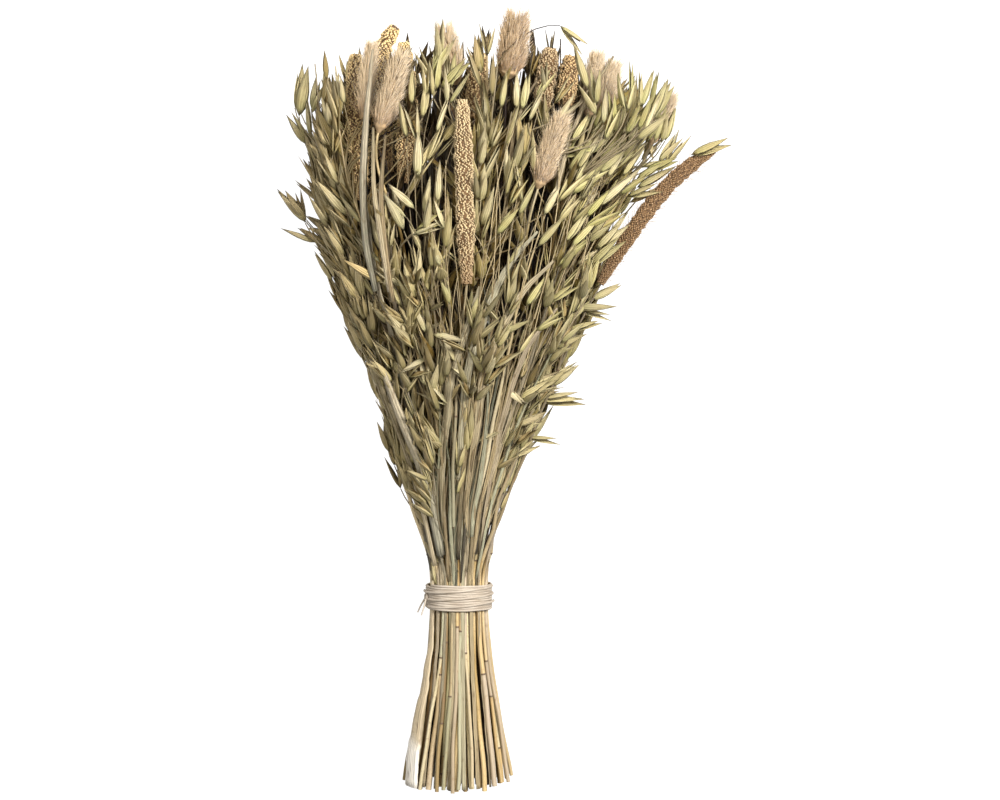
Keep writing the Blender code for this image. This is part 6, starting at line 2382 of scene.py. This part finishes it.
def knot_and_ends(context, finish, strand):
    """The small knot at the left of the winding, and its two cut ends."""
    out = np.array((math.cos(KNOT_ANGLE), 0, math.sin(KNOT_ANGLE)))
    across = np.array((-out[2], 0, out[0]))
    onwards = np.array((0, 1.0, 0))
    centre = np.array((0, 0, TIE_HEIGHT)) + out * (BINDING_RADIUS + BINDING_THICKNESS + KNOT_OUTSET)
    growth = Growth()
    turn = np.linspace(0, 2 * math.pi * 2.2, 44)
    loop = (
        centre
        + 1.9 * MM * np.cos(turn)[:, None] * onwards
        + 1.5 * MM * np.sin(turn)[:, None] * across
        + (0.5 * MM * np.sin(0.5 * turn + 0.4))[:, None] * out
    )
    growth.line(STRAW, loop, 0.8 * strand, (1, 1, 1))
    share = np.linspace(0, 1, 12)[:, None]
    for slant in KNOT_END_SLANTS:
        way = unit(-0.9 * onwards + 0.5 * slant * across + 0.35 * out)
        curl = 1.6 * MM * np.sin(3 * share) * across * slant
        line = centre + share * KNOT_END_LENGTH * way + curl
        growth.line(STRAW, line, np.linspace(0.8, 0.5, 12) * strand, (1, 1, 1))
    inputs = {"Straw sides": 6, "Twig sides": 6, "Straw finish": finish, "Spikelet finish": finish}
    return grow_piece(context, "twine_knot", growth, tree_once("oat_stalk", stalk_tree), inputs)


class BUNCH_OT_more_straws(bpy.types.Operator):
    """Build the thinner straws between and around the stalks"""

    bl_idname = "bunch.more_straws"
    bl_label = "Thinner straws"

    def execute(self, context):
        taken = [s.line for s in plan()["stalks"] if not s.is_leaf]
        growth = Growth()
        number = 0
        for share, count in FILLER_RINGS:
            for step in range(count):
                theta = math.radians(95) + 2 * math.pi * (step + 0.5) / count
                add_straw(growth, taken, share, theta, draws("straw", number))
                number += 1
        sides = context.scene.dried_bunch.straw.twig_sides
        place_straws(context, "thinner_straws", growth, sides, None)
        return {"FINISHED"}


def add_straw(growth, taken, share, theta, random):
    """A thin straw through the binding where its ring has most room."""
    best, best_room = None, -1.0
    end = random.uniform(150, 300) * MM if share < 1 else random.uniform(45, 190) * MM
    levels = np.append(LEVELS[LEVELS < end - 20 * MM], end)
    for _ in range(FILLER_TRIES):
        turn = theta + random.normal(0, 0.12)
        drift = random.normal(0, 0.09)
        line = []
        for y in levels:
            held = abs(y) < 20 * MM
            inwards = 1 if held else 0.96 if y < 0 else 0.88
            x, z = point_in_bunch(y, share * inwards, turn + (0 if held else drift))
            if not held:
                x, z = np.array((x, z)) + random.normal(0, 1.3, 2) * MM
            line.append((x, y, max(z, 1.6 * MM)))
        line = np.array(line)
        room = min(
            float(np.hypot(*(along_line(line, y) - along_line(other, y))))
            for other in taken
            for y in (-122 * MM, -70 * MM, 0, 60 * MM)
        )
        if room > best_room:
            best, best_room = line, room
    taken.append(best)
    stalk = Stalk("straw", "straw", 0, theta)
    stalk.line = best
    taper = np.interp(best[:, 1], (20 * MM, end), (1, 0.5))
    stalk.radii = taper * random.uniform(*FILLER_RADII) / np.mean(STRAW_GIRTHS)
    # Painted shade: thinner straws of the inner rings darker, deep in the bunch.
    tints = STRAW_TINTS * float(np.interp(share, (0.5, 1.0), (0.3, 0.9)))
    dress_straw(growth, stalk, random, tints, random.choice(PAINTED_GAP_SHADES))


class BUNCH_OT_dry_blades(bpy.types.Operator):
    """Build the narrow dry blades and fine fibres that cling to the stalks"""

    bl_idname = "bunch.dry_blades"
    bl_label = "Dry blades and fibres"

    def execute(self, context):
        facts = context.scene.dried_bunch.leaf
        clinging = [clinging_blade(*one, draws("blade", n)) for n, one in enumerate(CLINGING_BLADES)]
        # Dark blades deep in the bunch, painted shade where gaps would show the floor.
        under = [shade_under_blade((n + 0.5) / UNDER_BLADES, draws("under", n)) for n in range(UNDER_BLADES)]
        tall = [tall_blade(*one, draws("tall", n)) for n, one in enumerate(TALL_BLADES)]
        mesh = merged("dry_blades", clinging + under + tall)
        for part in clinging + under + tall:
            bpy.data.meshes.remove(part)
        place_blades(mesh, leaf_finish(facts), facts.thickness, None)
        growth = Growth()
        random = draws("fibre")
        oats = stalks_of("oat")
        for number in range(FIBRES):
            add_fibre(growth, oats[number % len(oats)][1], random)
        for _ in range(THREADS):
            add_thread(growth, random)
        place_straws(context, "loose_fibres", growth, 3, None)
        return {"FINISHED"}


def clinging_blade(degrees, start, length, width, lift, shade, random):
    """A narrow blade that leaves the winding and runs up over the outer stalks."""
    theta = math.radians(degrees)
    points, outs = [], []
    bend = random.normal(0, 0.16)
    for share in np.linspace(0, 1, len(CLINGING_TAPER)):
        y = (start + share * length) * MM
        turned = theta + bend * share * share + 0.02 * math.sin(9 * share + degrees)
        x, z = point_in_bunch(y, 1, turned)
        out = unit(np.array((math.cos(turned), 0, math.sin(turned))))
        rise = np.interp(y, (9 * MM, 45 * MM), (2.2 * MM, lift * MM + 1.5 * MM))
        points.append(np.array((x, y, z)) + rise * out)
        outs.append(out)
    points = np.array(points)
    points[:, 2] = np.maximum(points[:, 2], 1.5 * MM)
    sides = np.array([unit(np.cross(out, along)) for out, along in zip(outs, np.gradient(points, axis=0))])
    widths = width * MM * np.array(CLINGING_TAPER)
    # Tone that differs at random, and painted shade: the darkest blades stand for shaded gaps between the
    # stalks.
    tints = faded(*(random.choice(CLINGING_TONE_AND_PAINTED_SHADE) * tint for tint in BLADE_SHADES[shade]))
    return blade("blade", points, sides, np.array(outs), widths, tints, 0.2, 0.3 * MM, random, 1.1, 4)


def shade_under_blade(place, random):
    """A broad dark leaf deep in the bunch, at a place between its left and its right: a dark sheet that
    stands in for the shade there.
    """
    rows = np.linspace(*UNDER_REACH, 12)
    half_width, half_height, middle_x, middle_z = section(rows)
    aside = UNDER_SPREAD * (2 * place - 1)
    x = middle_x + half_width * aside + random.normal(0, 1.5) * MM * np.sin(12 * rows + 9 * place)
    z = middle_z - half_height * UNDER_DEPTH * math.sqrt(1 - aside * aside) * (1 - 0.25 * (place * 7 % 1))
    points = np.array((x, rows, np.maximum(z, 3 * MM))).T
    sides, outs = (np.tile(way, (12, 1)) for way in ((1.0, 0, 0), (0, 0, 1.0)))
    widths = 2.3 * UNDER_SPREAD * half_width / UNDER_BLADES
    tint = UNDER_SHADE_TINT * random.uniform(0.7, 1.3)
    return blade("blade", points, sides, outs, widths, faded(tint, tint), 0.12, 0.3 * MM, random, 0.3, 4)


def tall_blade(width, shade, points, random):
    """A long narrow blade that stands among the heads, through the given points."""
    points = MM * np.array(points)
    ahead = np.gradient(points, axis=0)
    sides = np.array([unit(np.cross((0, 0.1, 1.0), along)) for along in ahead])
    outs = np.array([unit(np.cross(along, side)) for along, side in zip(ahead, sides)])
    widths = width * MM * np.interp(np.linspace(0, 1, len(points)), (0, 0.3, 0.8, 1), (0.8, 1, 0.9, 0.35))
    tints = faded(*BLADE_SHADES[shade])
    return blade("blade", points, sides, outs, widths, tints, 0.25, 0.2 * MM, random, 0.5, 4)


def add_fibre(growth, stalk, random):
    """A fine curled fibre caught on a stalk."""
    y = random.uniform(15, min(290, stalk.end / MM - 20)) * MM
    point, along = point_on(stalk.line, y)
    length = random.uniform(14, 62) * MM
    turned = unit(random.normal(0, 1, 3) * (0.6, 0.15, 0.6) + along * random.uniform(0.3, 1.6))
    bend = unit(np.cross(turned, random.normal(0, 1, 3)))
    share = np.linspace(0, 1, 11)[:, None]
    swing = bend * length * random.uniform(-0.22, 0.22)
    line = point + share * length * turned + swing * np.sin(share * random.uniform(1.5, 5))
    line[:, 2] = np.clip(line[:, 2], 0.6 * MM, HIGHEST)
    if inside_outline(line[-1]):
        growth.line(TWIG, line, np.linspace(0.2, 0.11, 11) * MM, FIBRE_TINT * random.uniform(0.7, 1.25))


def add_thread(growth, random):
    """A long fine stem that runs over the front of the bunch."""
    aside = random.uniform(-0.85, 0.85)
    drift = random.normal(0, 0.16)
    start = random.uniform(40, 240) * MM
    length = random.uniform(50, 110) * MM
    line = []
    for share in np.linspace(0, 1, 9):
        y = start + share * length
        half_width, half_height, middle_x, middle_z = section(y)
        here = float(np.clip(aside + drift * share * share, -0.9, 0.9))
        lift = (1 + 3.5 * math.sin(2.6 * share + 3 * aside)) * MM
        z = min(middle_z + half_height * math.sqrt(1 - here * here) + lift, HIGHEST - 3 * MM)
        line.append((middle_x + half_width * here, y, z))
    line = np.array(line)
    if inside_outline(line[-1]) and not hides_head(line):
        growth.line(TWIG, line, np.linspace(0.42, 0.22, 9) * MM, THREAD_TINT * random.uniform(0.25, 1.1))


class BUNCH_OT_stage(bpy.types.Operator):
    """Lay the plain floor and set the lights and the camera"""

    bl_idname = "bunch.stage"
    bl_label = "Stage"

    def execute(self, context):
        facts = context.scene.dried_bunch.stage
        cage = bmesh.new()
        bmesh.ops.create_grid(cage, x_segments=8, y_segments=8, size=FLOOR_SIZE)
        finish = floor_finish(facts.floor_colour, facts.floor_glow)
        floor = linked(cage_mesh(cage, "studio_floor"), finish)
        floor.location.z = -0.3 * MM
        world = bpy.data.worlds.new("surroundings")
        world.use_nodes = True
        sky = {"Color": SKY_COLOUR, "Strength": facts.sky}
        fill(world.node_tree, world.node_tree.nodes["Background"], sky)
        context.scene.world = world
        for name, place, size, power in (
            ("main_light", (0.6, 0.44, 1.2), 0.38, facts.key_power),
            ("second_light", (-0.45, 0.1, 1.25), 0.9, facts.fill_power),
        ):
            light = bpy.data.lights.new(name, "AREA")
            light.size = size
            light.energy = power
            lamp = bpy.data.objects.new(name, light)
            context.scene.collection.objects.link(lamp)
            lamp.location = place
            lamp.rotation_euler = (LIT_PLACE - lamp.location).to_track_quat("-Z", "Y").to_euler()
        camera = bpy.data.cameras.new("camera")
        camera.sensor_width = FILM_WIDTH
        camera.lens = FILM_WIDTH * CAMERA_DROP / PICTURE_WIDTH
        camera.clip_start = 0.01
        viewer = bpy.data.objects.new("camera", camera)
        context.scene.collection.objects.link(viewer)
        viewer.location = Vector(CAMERA_AT) + TO_FRAME
        context.scene.camera = viewer
        context.scene.view_settings.view_transform = "Standard"
        return {"FINISHED"}


OPERATORS = (
    BUNCH_OT_oat_stalks, BUNCH_OT_millet_stalks, BUNCH_OT_hares_tails, BUNCH_OT_strap_leaves,
    BUNCH_OT_pale_sheath, BUNCH_OT_twine, BUNCH_OT_more_straws, BUNCH_OT_dry_blades, BUNCH_OT_stage,
)


class BunchFacts(bpy.types.PropertyGroup):
    """All sizes and colours of the bunch."""

    __annotations__ = {name: PointerProperty(type=group) for name, group in GROUPS.items()}


class BUNCH_PT_panel(bpy.types.Panel):
    """The bunch's settings and the buttons that build it"""

    bl_idname = "BUNCH_PT_panel"
    bl_label = "Dried grass bunch"
    bl_space_type = "VIEW_3D"
    bl_region_type = "UI"
    bl_category = "Dried bunch"

    def draw(self, context):
        facts = context.scene.dried_bunch
        for name, group in GROUPS.items():
            box = self.layout.box()
            box.label(text=group.__doc__)
            for key in group.__annotations__:
                box.prop(getattr(facts, name), key)
        for operator in OPERATORS:
            self.layout.operator(operator.bl_idname)


CLASSES = (*GROUPS.values(), BunchFacts, *OPERATORS, BUNCH_PT_panel)


def register():
    for made in CLASSES:
        bpy.utils.register_class(made)
    bpy.types.Scene.dried_bunch = PointerProperty(type=BunchFacts)


def unregister():
    del bpy.types.Scene.dried_bunch
    for made in reversed(CLASSES):
        bpy.utils.unregister_class(made)


def main():
    """Builds the whole bunch."""
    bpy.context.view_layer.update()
    register()
    bpy.ops.bunch.oat_stalks()
    bpy.ops.bunch.millet_stalks()
    bpy.ops.bunch.hares_tails()
    bpy.ops.bunch.strap_leaves()
    bpy.ops.bunch.pale_sheath()
    bpy.ops.bunch.twine()
    bpy.ops.bunch.more_straws()
    bpy.ops.bunch.dry_blades()
    bpy.ops.bunch.stage()


if __name__ == "__main__":
    main()
